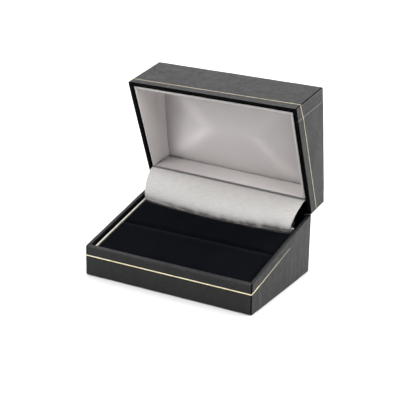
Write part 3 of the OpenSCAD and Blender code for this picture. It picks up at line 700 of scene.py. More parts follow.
# Along the outer edge of the rim: wear and a painted highlight line
LIP_WEAR_AND_HIGHLIGHT = on_steps(lambda n, kind, v: kind == "lip" and 0.2 < n < 0.95)
CUT_FOR_HINGE = on_steps(lambda n, kind, v: kind in ("rim", "lip") and not (n >= WALL - 0.001 and v >= 0.62))
print("steps that lie on the rim:", int(ON_RIM.sum()), "and on the wall:", int(ON_WALL.sum()))

# %% Points and marks of a covering sheet
SHEET_T = 0.34                  # thickness of a sheet
MITRE_DROP = 0.14               # the rim sinks so far where the sheet is folded at a corner
FOLD_SHADE_WIDTH = 0.85               # how far the painted shade of a corner fold reaches from the corner
LIFT_REACH = 14                 # the rim of the front rises over this length towards a corner
CUT_SHOWS = {1: (0.08, 0.12), -1: (0.25, 0.10)}      # how much of the paper core, at front and back


def covering_points(spots, half, front_lift, proud, mitre):
    """The sheet as rows of points, one row for each spot."""
    points = np.array([[wall_place(spot, n - (proud if kind == "wall" or n < 0.3 else 0), kind, v, half)
                        for n, kind, v in STEPS] for spot, _, _ in spots])
    from_corner = np.array([d for _, d, _ in spots])
    in_front = np.array([wall == "front" for _, _, wall in spots])
    lift = np.where(in_front, front_lift * np.clip(1 - from_corner / LIFT_REACH, 0, 1), 0)
    points[:, :, 2] += half * lift[:, None] * NEAR_RIM[None, :]
    points[:, :, 2] -= half * mitre
    return points


def covering_marks(spots, half, cut_ends):
    """Where the sheet is rubbed and where it gets painted highlight, where its folds get painted shade, and
    where it is cut.
    """
    from_corner = np.array([d for _, d, _ in spots])
    in_front = np.array([wall == "front" for _, _, wall in spots])
    at_corner = (from_corner == 0.0)[:, None]
    # Painted shade along the rounded corners and on the mitres of the rim, stronger on the right
    fold_shade_strength = np.array([1.0 if spot(0)[0] > 0 else 0.4 for spot, _, _ in spots])
    fold_shade = np.where(in_front & (from_corner < FOLD_SHADE_WIDTH), fold_shade_strength, 0.0)[:, None] * ON_WALL[None, :]
    fold_shade = np.maximum(fold_shade, at_corner * ON_RIM[None, :])
    # Wear at the turned-under ends; wear and painted highlight on the rim and along its outer edge; painted
    # highlight on the mitred corners of the rim and down the side half of each rounded corner
    rim_wear_and_highlight, lip_wear_and_highlight, corner_highlight = (0.35, 0.6, 1.0) if half > 0 else (0.0, 0.0, 0.3)
    rub_and_highlight = np.clip(NEAR_RIM * rim_wear_and_highlight + LIP_WEAR_AND_HIGHLIGHT * lip_wear_and_highlight + NEAR_END * 0.8, 0, 1)
    rub_and_highlight = rub_and_highlight[None, :] * np.ones((len(spots), 1))
    rub_and_highlight = np.maximum(rub_and_highlight, at_corner * LIP_WEAR_AND_HIGHLIGHT[None, :] * corner_highlight)
    rub_and_highlight = np.maximum(rub_and_highlight, 0.7 * (at_corner & ~in_front[:, None]) * ON_WALL[None, :])
    cut = np.zeros((len(spots), len(STEPS)))
    if cut_ends:
        at_front, at_back = CUT_SHOWS[half]
        cut[0], cut[1], cut[-1] = at_front * ON_WALL, at_front * ON_WALL, at_back * ON_WALL
    return {"rub_and_highlight": rub_and_highlight, "fold_shade": fold_shade, "cut": cut}


print("a sheet is", SHEET_T, "mm thick, and sinks", MITRE_DROP, "mm where it is mitred")


# %% Cover the base and the lid
def covering(name, spots, half, nodes, faces_out, front_lift=0.0, proud=0.0, cut_ends=False,
             open_hinge=False):
    """One sheet. front_lift raises its rim at the front corners, proud lays it over its neighbours,
    and open_hinge cuts its rim away where the hinge is."""
    mitre = np.array([d == 0.0 for _, d, _ in spots])[:, None] * ON_RIM[None, :]
    points = covering_points(spots, half, front_lift, proud, (0.0 if open_hinge else MITRE_DROP) * mitre)
    marks = covering_marks(spots, half, cut_ends)
    fold_shade = marks["fold_shade"]
    # Painted shade: the turned-in paper, all of the lid's rim and the corner folds take the darker copy
    # without shine
    painted_shade_steps = (TURNED_IN if half > 0 else np.maximum(TURNED_IN, ON_RIM)) > 0
    painted_shade_faces = painted_shade_steps[None, :-1] | ((fold_shade[:-1, :-1] + fold_shade[1:, :-1] + fold_shade[1:, 1:] + fold_shade[:-1, 1:]) > 3.5)
    keep = None
    if open_hinge:
        xs = points[:, 10, 0]
        in_hinge = np.abs(xs[:-1] + xs[1:]) / 2 < HINGE_HALF
        keep = ~(in_hinge[:, None] & (CUT_FOR_HINGE > 0)[None, :-1])
    piece = grid_piece(name, points, LEATHERETTE, marks, faces_out, keep, turned=half < 0, thick=SHEET_T,
                       rim_paint=CUT_EDGE, roughen=0.0 if open_hinge else 0.05, second=PAINTED_SHADE_LEATHERETTE,
                       second_faces=painted_shade_faces)
    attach(piece, "base" if half > 0 else "lid")
    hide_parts(*nodes)
    return piece


OVERLAP, LAID_OVER = 0.6, 0.12      # a side sheet reaches so far over the return, and lies so proud of it
made = []
for half, word, back_seam in ((1, "base", SEAM_BACK_BASE), (-1, "lid", SEAM_BACK_LID)):
    sheets = [("front", wrapped_spots(-1, SEAM_FRONT), (0, -1, 0), {"front_lift": 0.04}),
              ("back", wrapped_spots(1, back_seam), (0, 1, 0), {"open_hinge": True})]
    sheets += [(side, side_spots(sx, SEAM_FRONT - OVERLAP, back_seam - OVERLAP), (sx, 0, 0),
                {"proud": LAID_OVER, "cut_ends": True}) for side, sx in (("left", -1), ("right", 1))]
    for side, spots, faces_out, ways in sheets:
        name = f"{word}_leatherette_{side}"
        made.append(covering(name, spots, half, [f"{word}_cover_{side}"], faces_out, **ways))
print("covering sheets:", [(p.name, len(p.data.polygons)) for p in made])

# %% [markdown]
# ## The bottom sheet and the top panel
# These two hide the turned-under margins. Each is one flat sheet of the same leatherette, a
# millimetre smaller all round, with its corners and edges pressed down. A plate from a box would do
# for the size, but its edges would be too sharp, so it is a grid whose edges drop away.

# %% Panels
def panel_places(half, inner):
    """Places across a panel: evenly over its middle, and three close together at each edge."""
    edge = [half - 0.5, half - 0.15, half]
    return np.concatenate([[-v for v in reversed(edge)], np.linspace(-half + 1.5, half - 1.5, inner), edge])


def panel(name, node, z, outward, body):
    """One flat sheet at height z that faces down (outward -1) or up (1). Its edges are pressed down."""
    half_w, half_d, fall = HALF_W - 1, HALF_D - 1, 0.16
    xs, ys = panel_places(half_w, 40), panel_places(half_d, 28)
    points = np.zeros((len(xs), len(ys), 3))
    points[..., 0], points[..., 1] = xs[:, None], ys[None, :]
    edge = np.minimum(half_w - np.abs(xs)[:, None], half_d - np.abs(ys)[None, :])
    points[..., 2] = z - outward * fall * np.clip(1 - edge / 0.5, 0, 1) ** 2
    marks = {"rub_and_highlight": np.clip(1 - edge / 0.6, 0, 1), "fold_shade": 0.0, "cut": 0.0}
    piece = grid_piece(name, points, LEATHERETTE, marks, (0, 0, outward), turned=body == "lid", thick=0.18,
                       rim_paint=CUT_EDGE, roughen=0.02, rough_size=6)
    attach(piece, body)
    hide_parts(node)
    return piece


bottom = panel("bottom_panel", "bottom_sheet", 0.0, -1, "base")
top = panel("top_panel", "lid_top_panel", SHUT_H + 0.2, 1, "lid")
print("panels:", bottom.name, top.name)

# %% [markdown]
# ## The gold lines
# The line is hot-stamped foil, up to half a millimetre wide, pressed into flat sheets before they are
# wrapped. That is why it steps a little at each seam and isn't quite parallel to the rim. It could
# be painted on as a mask, but as real ribbons of foil the lines keep sharp edges at any distance.
# They are pulled along the same spots as the covering. The mark for rubbed foil lets it fade out.

# %% Foil ribbons
FOIL_SECTION = ((-0.5, 0.0), (-0.38, 0.045), (0.38, 0.045), (0.5, 0.0))      # shares of the width, mm proud
WIDE_FOIL, THIN_FOIL = 0.50, 0.37       # the base's line along its front, and the lines elsewhere


def foil_rows(spots, drops, half, rub_and_highlight, full_width):
    """A ribbon along the spots, as far below the rim as drops says, in mm."""
    rows = []
    for (spot, _, _), drop in zip(spots, drops):
        row = []
        for across, out in FOIL_SECTION:
            x, y = spot(-out - 0.02)
            width = full_width * (1 + 0.15 * noise.noise(Vector((x * 0.4, y * 0.4, half))))
            row.append((x, y, rim_z(y) - half * (drop + across * width)))
        rows.append(row)
    return np.array(rows), np.broadcast_to(np.asarray(rub_and_highlight)[:, None], (len(rows), 4))


def foil_line(name, half, runs, node):
    """Joins several ribbons into one piece."""
    work = bmesh.new()
    parts = []
    for k, (spots, drops, rub_and_highlight, faces_out) in enumerate(runs):
        full_width = WIDE_FOIL if half > 0 and k == 0 else THIN_FOIL
        points, marks = foil_rows(spots, drops, half, rub_and_highlight, full_width)
        part = grid_piece(f"{name}_{k}", points, FOIL, {"rub_and_highlight": marks}, faces_out, turned=half < 0)
        work.from_mesh(part.data)
        parts.append(part)
    whole = parts[0]
    work.to_mesh(whole.data)
    work.free()
    for part in parts[1:]:
        bpy.data.objects.remove(part)
    whole.name = whole.data.name = name
    solid = whole.modifiers.new("thickness", "SOLIDIFY")
    solid.thickness, solid.offset = 0.03 * MM, -1
    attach(whole, "base" if half > 0 else "lid")
    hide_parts(node)
    return whole


print("foil:", WIDE_FOIL, "mm wide along the front of the base, and", THIN_FOIL, "mm elsewhere")


# %% Lay the gold lines
def along_front(spots, left, right, at_corner, at_seam):
    """Drops along a front sheet: straight across the front, and another slope on each return."""
    drops = []
    for spot, from_corner, wall in spots:
        x = spot(0.0)[0]
        front = left + (right - left) * (x + HALF_W) / (2 * HALF_W)
        side = at_corner + (at_seam - at_corner) * (from_corner / SEAM_FRONT)
        drops.append(front if wall == "front" else side)
    return drops


def raised(spots, proud):
    """The same spots on a sheet that is laid over, and so stands proud."""
    return [((lambda n, s=s: s(n - proud)), d, w) for s, d, w in spots]


WORN_OFF_Y = 7.0                # the base's line is worn away from here to the back
front = wrapped_spots(-1, SEAM_FRONT)
sides = {sx: raised(side_spots(sx, SEAM_FRONT - OVERLAP, 1.0), LAID_OVER) for sx in (-1, 1)}
base_sides = {sx: [t for t in spots if t[0](0)[1] < WORN_OFF_Y] for sx, spots in sides.items()}


def base_side_rub(spots):
    """The base's line is dulled along the sides and rubbed away towards the back."""
    return [min(1.0, 0.4 + 0.6 * max(0.0, (s(0)[1] + 18) / 23)) for s, _, _ in spots]


base_drops = along_front(front, 4.35, 4.3, 3.9, 3.85)       # left, right, at the corner, at the seam
lid_drops = along_front(front, 4.0, 5.2, 4.2, 5.0)
base_runs = [(front, base_drops, [0.1] * len(front), (0, -1, 0))]
lid_runs = [(front, lid_drops, [0.5] * len(front), (0, -1, 0))]
for sx in (-1, 1):
    count = len(sides[sx])
    rising = [3.85 - 0.5 * k / count for k in range(len(base_sides[sx]))]
    base_runs.append((base_sides[sx], rising, base_side_rub(base_sides[sx]), (sx, 0, 0)))
    lid_runs.append((sides[sx], [4.9] * count, [0.55] * count, (sx, 0, 0)))
base_foil = foil_line("base_gold_line", 1, base_runs, "base_foil_line")
lid_foil = foil_line("lid_gold_line", -1, lid_runs, "lid_foil_line")
print("gold lines:", base_foil.name, lid_foil.name)

# %% [markdown]
# ## The hard parts that stay
# The shells, the card tray and riser, the lining cards and the snap hinge are shown as packed. They
# are plain pressed or moulded parts, so their shapes are right, and what they lack is a finish:
# moulding marks, paper fibre, and the fine scratches of rolled steel.

# %% Moulded board, card and steel
def moulded_paint():
    """Matt black board with the marks of its mould."""
    made, tree, shader = new_material("moulded_shell", Roughness=0.6)
    place = place_on_object(tree)
    broad = put(tree, "ShaderNodeTexNoise", None, Vector=place, Scale=220.0, Detail=4.0)
    coloured(tree, shader, mixed(tree, broad.outputs[0], (0.010, 0.010, 0.010, 1), (0.022, 0.022, 0.022, 1)))
    grain = group(tree, GRAIN, Place=place, Cell=0.9)
    tree.links.new(spread(tree, grain["Height"], 0.0, 1.0, 0.5, 0.7), shader.inputs["Roughness"])
    bumped(tree, shader, broad.outputs[0], 0.0001, 0.3)
    return made


def card_paint():
    """White card: fibres, and a few yellowed stains."""
    made, tree, shader = new_material("white_card", Roughness=0.85)
    place = place_on_object(tree)
    fibre = put(tree, "ShaderNodeTexNoise", None, Vector=place, Scale=2600.0, Detail=5.0, Roughness=0.7)
    stain = put(tree, "ShaderNodeTexNoise", None, Vector=place, Scale=160.0, Detail=2.0)
    tone = mixed(tree, fibre.outputs[0], (0.82, 0.81, 0.77, 1), (0.93, 0.93, 0.90, 1))
    stained = spread(tree, stain.outputs[0], 0.5, 0.75, 0.0, 0.4)
    coloured(tree, shader, mixed(tree, stained, tone, (0.62, 0.57, 0.42, 1)))
    bumped(tree, shader, fibre.outputs[0], 0.00005, 0.5)
    return made


def steel_paint():
    """Bright strip with the fine lines of rolling."""
    made, tree, shader = new_material("rolled_steel", Metallic=1.0, Roughness=0.35, Anisotropic=0.4)
    place = put(tree, "ShaderNodeMapping", None, Vector=place_on_object(tree), Scale=(60, 4000, 4000))
    lines = put(tree, "ShaderNodeTexNoise", None, Vector=place.outputs[0], Scale=1.0, Detail=3.0)
    coloured(tree, shader, mixed(tree, lines.outputs[0], (0.30, 0.30, 0.31, 1), (0.50, 0.50, 0.51, 1)))
    tree.links.new(spread(tree, lines.outputs[0], 0.2, 0.8, 0.25, 0.5), shader.inputs["Roughness"])
    bumped(tree, shader, lines.outputs[0], 0.00002, 0.4)
    return made


SHELL, CARD, STEEL = moulded_paint(), card_paint(), steel_paint()
finish_of = {SHELL: ["base_shell", "lid_shell"],
             CARD: ["insert_riser", "insert_tray", "lining_card_roof", "lining_card_front",
                    "lining_card_left", "lining_card_right"],
             STEEL: ["hinge_leaf_base", "hinge_pin", "hinge_rivets_base", "hinge_leaf_lid",
                     "hinge_rivets_lid"]}
for paint, names in finish_of.items():
    for node in names:
        mesh = frame["nodes"][node].data
        mesh.materials.clear()
        mesh.materials.append(paint)
print("kept from the packed model:", sum(len(n) for n in finish_of.values()), "pieces")

# %% [markdown]
# ## The bow spring
# The spring is a strip of steel held between the two leaves. It jumps from one side of the pin to
# the other as the lid goes over its middle. A stiff spring would swing out through the back when
# the lid is shut, so it is made again as a curved strip between the two leaves, bowed to the front.

# %% Bow spring
SPRING_ENDS = ((24.40, 20.55), (32.26, 30.80))       # y and z of its lower and its upper end
SPRING_BOW, SPRING_W, SPRING_T = 4.6, 28.0, 0.25     # how far it bows, its width and its thickness


def bow_spring():
    """A strip along an arc from leaf to leaf, bowed towards the front."""
    (y0, z0), (y1, z1) = SPRING_ENDS
    chord = math.hypot(y1 - y0, z1 - z0)
    along, out = ((y1 - y0) / chord, (z1 - z0) / chord), (-(z1 - z0) / chord, (y1 - y0) / chord)
    radius = (chord * chord / 4 + SPRING_BOW ** 2) / (2 * SPRING_BOW)
    middle = [(y0 + y1) / 2 + out[0] * (SPRING_BOW - radius), (z0 + z1) / 2 + out[1] * (SPRING_BOW - radius)]
    half = math.asin(chord / 2 / radius)
    points = np.zeros((49, 15, 3))
    for i, a in enumerate(np.linspace(-half, half, 49)):
        for j, s in enumerate(np.linspace(-1, 1, 15)):
            r = radius + SPRING_T / 2 - 0.06 * abs(s) ** 12
            width = SPRING_W / 2 - 0.5 * max(0.0, abs(a) / half - 0.95) / 0.05
            y, z = [middle[k] + r * (out[k] * math.cos(a) + along[k] * math.sin(a)) for k in (0, 1)]
            points[i, j] = s * width, y, z
    piece = grid_piece("bow_spring", points, STEEL, None, (0, -1, 1), thick=SPRING_T)
    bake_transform(piece)
    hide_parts("hinge_spring")


bow_spring()
print("bow spring", SPRING_W, "mm wide, bowed", SPRING_BOW, "mm")

# %% [markdown]
# ## Velvet pads
# Two foam blocks are wrapped in short-pile velvet and pressed into a card tray side by side, and
# the slit between them grips the rings. The pile drinks light, except where it is seen edge on, and
# there it shows a soft grey rim. That is what the sheen of the shader does. Each pad is one grid
# whose rows crowd together at the edges, where the velvet rolls over the foam and goes down.

# %% Velvet and foam
def velvet_paint():
    """Black pile that is brushed a little unevenly, with a painted highlight along the slit."""
    made, tree, shader = new_material("black_velvet", Roughness=1.0, Specular_IOR_Level=0.04,
                                      Sheen_Weight=0.045, Sheen_Roughness=0.45,
                                      Sheen_Tint=(0.30, 0.33, 0.42, 1))
    place = place_on_object(tree)
    pile = put(tree, "ShaderNodeTexNoise", None, Vector=place, Scale=5200.0, Detail=2.0)
    brushed = put(tree, "ShaderNodeTexNoise", None, Vector=place, Scale=90.0, Detail=3.0)
    dust = group(tree, LINT, Place=place, Apart=2.4, Amount=0.3)
    tone = mixed(tree, pile.outputs[0], (0.0006, 0.0009, 0.0017, 1), (0.0020, 0.0027, 0.0044, 1))
    stroked = spread(tree, brushed.outputs[0], 0.4, 0.7, 0.0, 0.5)
    tone = mixed(tree, stroked, tone, (0.0028, 0.0036, 0.0056, 1))
    # Painted highlight: paler grey along the lips of the slit
    tone = mixed(tree, mark_on_mesh(tree, "lip"), tone, (0.024, 0.022, 0.023, 1))
    tone = mixed(tree, maths(tree, "MULTIPLY", dust["Mask"], 0.15), tone, (0.2, 0.2, 0.2, 1))
    coloured(tree, shader, tone)
    bumped(tree, shader, pile.outputs[0], 0.00025, 0.7)
    return made


def foam_paint():
    """Grey open cells."""
    made, tree, shader = new_material("grey_foam", Roughness=0.95)
    cells = put(tree, "ShaderNodeTexVoronoi", {"feature": "F1"}, Vector=place_on_object(tree), Scale=1600.0)
    tone = mixed(tree, cells.outputs["Distance"], (0.05, 0.05, 0.055, 1), (0.2, 0.2, 0.21, 1))
    coloured(tree, shader, tone)
    bumped(tree, shader, cells.outputs["Distance"], 0.0003, 0.8)
    return made


VELVET, FOAM = velvet_paint(), foam_paint()
print("soft finishes:", VELVET.name, FOAM.name)

# %% Shape of the pads
TRAY_X, TRAY_FRONT_Y, CARD_T = HALF_W - 2.25, -HALF_D + 2.25, 0.5    # the tray's outside, and its card
PAD_X = TRAY_X - CARD_T - 0.1           # half width of a pad
SLOT_Y, SLOT_GAP = -HALF_D + 25, 0.3    # where the pads meet, and the slit between them
PAD_DROP, PAD_BOTTOM = 2.0, 9.45        # a pad's top and its underside, below the rim
ROLL, CROWN = 1.4, 0.35                 # radius of its rolled edges, and how far its middle rises
FLAP_ROOM = 0.15                        # between the rear pad and the flap's foot


def flap_foot(x):
    """Where the front of the satin flap meets the pad: pressed forward at mid width."""
    return 13.6 - 0.023 * x + 0.0017 * x * x


def edge_rows(half, roll, inner):
    """Rows across a pad, crowded where it rolls over, with one more at each end for the skirt."""
    turn = [roll * (1 - math.cos(math.radians(a))) for a in np.linspace(0, 90, 9)[:-1]]
    left = [-half] + [-half + t for t in turn]
    middle = np.linspace(-(half - roll), half - roll, inner)
    return np.array(left + list(middle) + [-v for v in reversed(left)])


def rolled_down(at, half, roll):
    """How far the rolled edge has gone down at this place."""
    e = max(0.0, half - abs(at))
    return 0.0 if e >= roll else roll - math.sqrt(max(0.0, roll * roll - (roll - e) ** 2))


def pad_points(y_from, y_to, bowed, inner=0.0):
    """A pad's surface, a given distance inside its velvet's face. bowed fits its back to the flap."""
    half_x, roll = PAD_X - inner, ROLL - min(inner, 1.0)
    half_y, mid = (y_to - y_from) / 2 - inner, (y_from + y_to) / 2
    xs, vs = edge_rows(half_x, roll, 90), edge_rows(half_y, roll, 26)
    points = np.zeros((len(xs), len(vs), 3))
    for i, x in enumerate(xs):
        for j, v in enumerate(vs):
            y = mid + v
            if bowed:
                y += (flap_foot(x) - FLAP_ROOM - y_to) * ((v + half_y) / (2 * half_y)) ** 2
            down = PAD_DROP + inner + rolled_down(x, half_x, roll) + rolled_down(v, half_y, roll)
            down -= CROWN * (1 - (x / half_x) ** 2) * (1 - (v / half_y) ** 2)
            down -= 0.06 * noise.noise(Vector((x / 7, y / 7, 4.0 + inner)))
            if i in (0, len(xs) - 1) or j in (0, len(vs) - 1):
                down = PAD_BOTTOM
            points[i, j] = x, y, rim_z(y) - down / math.cos(SLOPE)
    return points


def closed_below(piece):
    """Welds the skirt's corners and fills the underside, so that a block is one closed form."""
    work = bmesh.new()
    work.from_mesh(piece.data)
    bmesh.ops.remove_doubles(work, verts=work.verts, dist=1e-7)
    bmesh.ops.holes_fill(work, edges=[e for e in work.edges if e.is_boundary], sides=0)
    bmesh.ops.triangulate(work, faces=[f for f in work.faces if len(f.verts) > 4])
    work.to_mesh(piece.data)
    work.free()
    return piece


print(f"pads: their tops are {PAD_DROP} mm below the rim, and they are {PAD_BOTTOM - PAD_DROP:.2f} mm thick")

# %% Velvet over foam
PILE_T, MOST_PUFF = 0.7, 0.25           # from the velvet's face to the foam, and how far the face may puff up


def soft_pad(word, y_from, y_to, bowed):
    """One velvet cover and the foam block in it. The mark lip is a painted highlight on the rows along the
    slit.
    """
    points = pad_points(y_from, y_to, bowed)
    slit_highlight = np.zeros(points.shape[:2])
    slit_highlight[:, slice(-5, -1) if word == "front" else slice(1, 5)] = 0.5
    velvet = closed_below(grid_piece(f"velvet_pad_{word}", points, VELVET, {"lip": slit_highlight}, (0, 0, 1)))
    up = Vector((0, -math.sin(SLOPE), math.cos(SLOPE)))
    depths = [(rim_z(p.co.y / MM) - p.co.z / MM) * math.cos(SLOPE) for p in velvet.data.vertices]
    settle(velvet, [d < PAD_DROP + ROLL - 0.05 for d in depths], MOST_PUFF, up)
    inside = pad_points(y_from, y_to, bowed, PILE_T)
    foam = closed_below(grid_piece(f"foam_block_{word}", inside, FOAM, None, (0, 0, 1)))
    for piece, node, slot in ((velvet, f"velvet_{word}", "velvet"), (foam, f"foam_{word}", "foam")):
        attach(piece, "base")
        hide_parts(node)


soft_pad("front", TRAY_FRONT_Y, SLOT_Y - SLOT_GAP / 2, False)
soft_pad("rear", SLOT_Y + SLOT_GAP / 2, flap_foot(PAD_X) - FLAP_ROOM, True)
print(f"pads {2 * PAD_X:.1f} mm wide, meeting at a slit {SLOT_Y + HALF_D:.0f} mm from the front")

# %% [markdown]
# ## The frayed strip beside the tray
# Along the left wall the white card of the tray shows its cut edge, and beside it runs a strip of
# velvet backing, yellowed by glue, with a ragged edge. Both are less than a millimetre wide, but
# they are the brightest things inside the base, so each gets a piece of its own. On the other side
# the velvet is wrapped over the edge of the card, and hides it.

# %% Glued backing strips
def backing_paint():
    """Dark threads on yellow dried glue."""
    made, tree, shader = new_material("glued_backing", Roughness=0.8)
    place = place_on_object(tree)
    threads = put(tree, "ShaderNodeTexNoise", None, Vector=place, Scale=1900.0, Detail=4.0)
    frayed = spread(tree, threads.outputs[0], 0.35, 0.65)
    coloured(tree, shader, mixed(tree, frayed, (0.02, 0.018, 0.012, 1), (0.26, 0.22, 0.12, 1)))
    bumped(tree, shader, threads.outputs[0], 0.0002, 0.8)
    return made


BACKING = backing_paint()


def edge_strip(name, sx, outer, width, lift, paint, y_end, ragged):
    """A thin strip along a side of the tray, from outer (a distance from the middle) inwards. Its top
    stands lift above the pads, and it is wider at its front end."""
    ys = np.linspace(TRAY_FRONT_Y + 0.15, y_end, 170)
    points = np.zeros((len(ys), 5, 3))
    for i, y in enumerate(ys):
        long_waves, short_waves = noise.noise(Vector((y * 0.9, sx, 0))), noise.noise(Vector((y * 4.0, sx, 5)))
        fray = ragged * (0.9 * long_waves + 0.4 * short_waves)
        flare = 1.1 * width * math.exp(-(y - ys[0]) / 0.9)
        for j, share in enumerate((0.0, 0.25, 0.5, 0.75, 1.0)):
            x = outer - (width * (1 + fray) + flare) * share
            wavy = 0.04 * noise.noise(Vector((y * 2, share * 3, sx)))
            down = PAD_DROP - lift + 0.12 * abs(2 * share - 1) ** 3 + wavy
            points[i, j] = sx * x, y, rim_z(y) - down / math.cos(SLOPE)
    piece = grid_piece(name, points, paint, None, (0, 0, 1), thick=0.12)
    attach(piece, "base")


card_inner = TRAY_X - CARD_T - 0.15
foot_left = flap_foot(-PAD_X)           # the two strips on the left end under the flap
edge_strip("card_edge_left", -1, TRAY_X - 0.02, 0.74, 0.12, CARD, foot_left + 2.0, 0.08)
edge_strip("backing_strip_left", -1, card_inner + 0.1, 0.75, 0.0, BACKING, foot_left + 1.0, 0.35)
edge_strip("velvet_tab_right", 1, TRAY_X + 0.06, 1.5, 0.14, VELVET, HALF_D - 2.4, 0.05)
print("strips made along both sides of the tray")

# %% [markdown]
# ## The ends of the hinge
# The hinge is shorter than the box is wide, and beside each of its ends the cut-away rims would
# leave a hole right through the box. A maker leaves the turned-in paper standing there, and it
# closes the gap. So does a narrow upright tongue here, with a shred of the same paper on the hinge
# line, where the two edges meet. Both are plain strips, because only their darkness is ever seen.
# Both strips take the darker leatherette without shine, and stand as painted shade in the gap.

# %% Tongues and threads
TONGUE_X, TONGUE_Z, TONGUE_BACK = (34.7, 38.5), (23.5, 28.6), 2.25
THREAD_X, THREAD_HALF = (34.6, 40.5), 0.025


def gap_tongue(word, sx):
    """The turned-in paper beside an end of the hinge, with its top corners rounded."""
    (x0, x1), (z0, z1) = TONGUE_X, TONGUE_Z
    xs, zs = np.linspace(x0, x1, 16), np.linspace(z0, z1, 20)
    points = np.zeros((len(xs), len(zs), 3))
    for i, x in enumerate(xs):
        rounded = 0.5 * ((x - (x0 + x1) / 2) / ((x1 - x0) / 2)) ** 6
        for j, z in enumerate(zs):
            up = (z - z0) / (z1 - z0)
            points[i, j] = sx * x, HINGE_Y - TONGUE_BACK - 0.10 * up ** 2, z - rounded * up
    piece = grid_piece(f"hinge_tongue_{word}", points, PAINTED_SHADE_LEATHERETTE, None, (0, -1, 0), thick=0.15, roughen=0.02,
                       rough_size=2.0)
    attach(piece, "base")


def hinge_thread(word, sx):
    """A shred of the paper on the hinge line, where the two edges meet beside the pin."""
    points = np.array([[(sx * x, HINGE_Y - 0.01, HINGE_Z + z) for z in (-THREAD_HALF, THREAD_HALF)]
                       for x in np.linspace(*THREAD_X, 7)])
    piece = grid_piece(f"hinge_thread_{word}", points, PAINTED_SHADE_LEATHERETTE, None, (0, -1, 0), thick=0.02)
    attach(piece, "base")


for word, sx in (("left", -1), ("right", 1)):
    gap_tongue(word, sx)
    hinge_thread(word, sx)
print("tongues and threads close the gap at both ends of the hinge")

# %% [markdown]
# ## Two satins
# The lining is a smooth rayon satin, pinkish grey, and the hinge flap is brighter and more coarsely
# woven. Satin gets its gloss from long threads that all run one way, so each has fine streaks along
# the cloth, a slightly glossy shader that stretches its highlight across the threads, and a little
# sheen. The streaks follow the flat map of each sheet, so they turn with the cloth.

# %% Satin materials
def satin_paint(name, dark, light, pitch, length, rough, relief, streaks):
    """Cloth whose threads run between two tones: pitch and length are a thread's size in mm, relief is
    the strength of its relief, and streaks how far it goes from one tone to the other."""
    made, tree, shader = new_material(name, Roughness=rough, Anisotropic=0.4, Sheen_Weight=0.1,
                                      Sheen_Roughness=0.4)
    flat = put(tree, "ShaderNodeUVMap", {"uv_map": "flat"}).outputs[0]
    threads = group(tree, THREADS, Flat=flat, Pitch=pitch, Length=length)
    streak = spread(tree, threads["Streak"], 0.0, 1.0, 0.5 - streaks / 2, 0.5 + streaks / 2)
    tone = mixed(tree, streak, dark, light)
    soft = put(tree, "ShaderNodeTexNoise", None, Vector=place_on_object(tree), Scale=70.0, Detail=2.0)
    tone = mixed(tree, spread(tree, soft.outputs[0], 0.35, 0.65, 0.0, 0.25), tone, dark)
    # Painted highlight: paler where the mark says so
    tone = mixed(tree, mark_on_mesh(tree, "painted_highlight"), tone, [1.30 * v for v in light[:3]] + [1])
    # Painted shade: darker in the creases, folds and corners, and where the lid's walls shade the satin
    tone = mixed(tree, mark_on_mesh(tree, "painted_shade"), tone, (0.10, 0.09, 0.09, 1))
    coloured(tree, shader, tone)
    glossy = spread(tree, threads["Streak"], 0.0, 1.0, rough - 0.06, rough + 0.08)
    tree.links.new(glossy, shader.inputs["Roughness"])
    bumped(tree, shader, threads["Height"], 0.00006, relief)
    return made


LINING_SATIN = satin_paint("lining_satin", (0.395, 0.372, 0.369, 1), (0.485, 0.457, 0.453, 1),
                           pitch=0.20, length=22.0, rough=0.34, relief=0.10, streaks=0.14)
FLAP_SATIN = satin_paint("flap_satin", (0.43, 0.418, 0.410, 1), (0.60, 0.585, 0.572, 1),
                         pitch=0.19, length=3.2, rough=0.55, relief=0.6, streaks=0.8)
print("satins:", LINING_SATIN.name, FLAP_SATIN.name)

# %% [markdown]
# ## The lining panels
# Each wall of the lid is lined with a card wrapped in satin. The satin is drawn round the card's
# edge, which makes a soft rounded border just behind the rim, and it lies a little full on the
# face. The panels push against each other in the corners, which leaves the creases seen in the
# photograph. One routine makes all four, from a rule that says where a point of the wall is.
# The creases also get painted shade, and so does the satin round each card's edge, most on the rear panel.
# The rear panel gets painted shade towards its left end too, and a painted highlight that grows towards its
# right; the other panels get an even painted highlight.

# %% Section of a wall panel
FACE = 3.4                  # from the lid's outer face to the satin's face
CARD_BACK = 2.28            # the same to the satin's margin behind the card
PANEL_END = 2.3             # the same to the ends of the front and rear panels
CARD_ROLL = 0.55            # radius at which the satin is drawn round the card's edge
PANEL_TOP = 36.9            # the panels end here, under the edge of the roof panel
REAR_Y, REAR_SKEW = 18.25, 0.024    # the rear panel's face at mid width, and how much it is askew


def rear_face(x):
    """The rear panel of the lining isn't quite square to the sides."""
    return REAR_Y + REAR_SKEW * x


def panel_rows(edge_z, corner_near, lean):
    """From behind the card, round its edge and over the face to the roof: (inset from the wall, height).
    The satin lies a little full on the face, and lean tips its top inwards."""
    rows = [(CARD_BACK, edge_z + up) for up in (5.0, 2.5, 0.6)]
    rows += [(CARD_BACK + CARD_ROLL * (1 - math.cos(a)), edge_z + CARD_ROLL * (1 - math.sin(a)))
             for a in np.radians([20, 40, 60, 80])]
    rows += [(FACE - CARD_ROLL * (1 - math.sin(a)), edge_z + CARD_ROLL * (1 - math.cos(a)))
             for a in np.radians([10, 30, 50, 70, 90])]
    for share in np.linspace(0, 1, 22)[1:]:
        full = 0.28 * math.sin(math.pi * min(1, share * 1.05)) ** 0.6 if share < 0.95 else 0.0
        z = edge_z + CARD_ROLL + (PANEL_TOP - edge_z - CARD_ROLL) * share
        leaning = lean * min(1.0, max(0.0, (z - 31.0) / 5.5)) ** 2
        rows.append((FACE + full * (1 - corner_near) + leaning, z))
    return rows


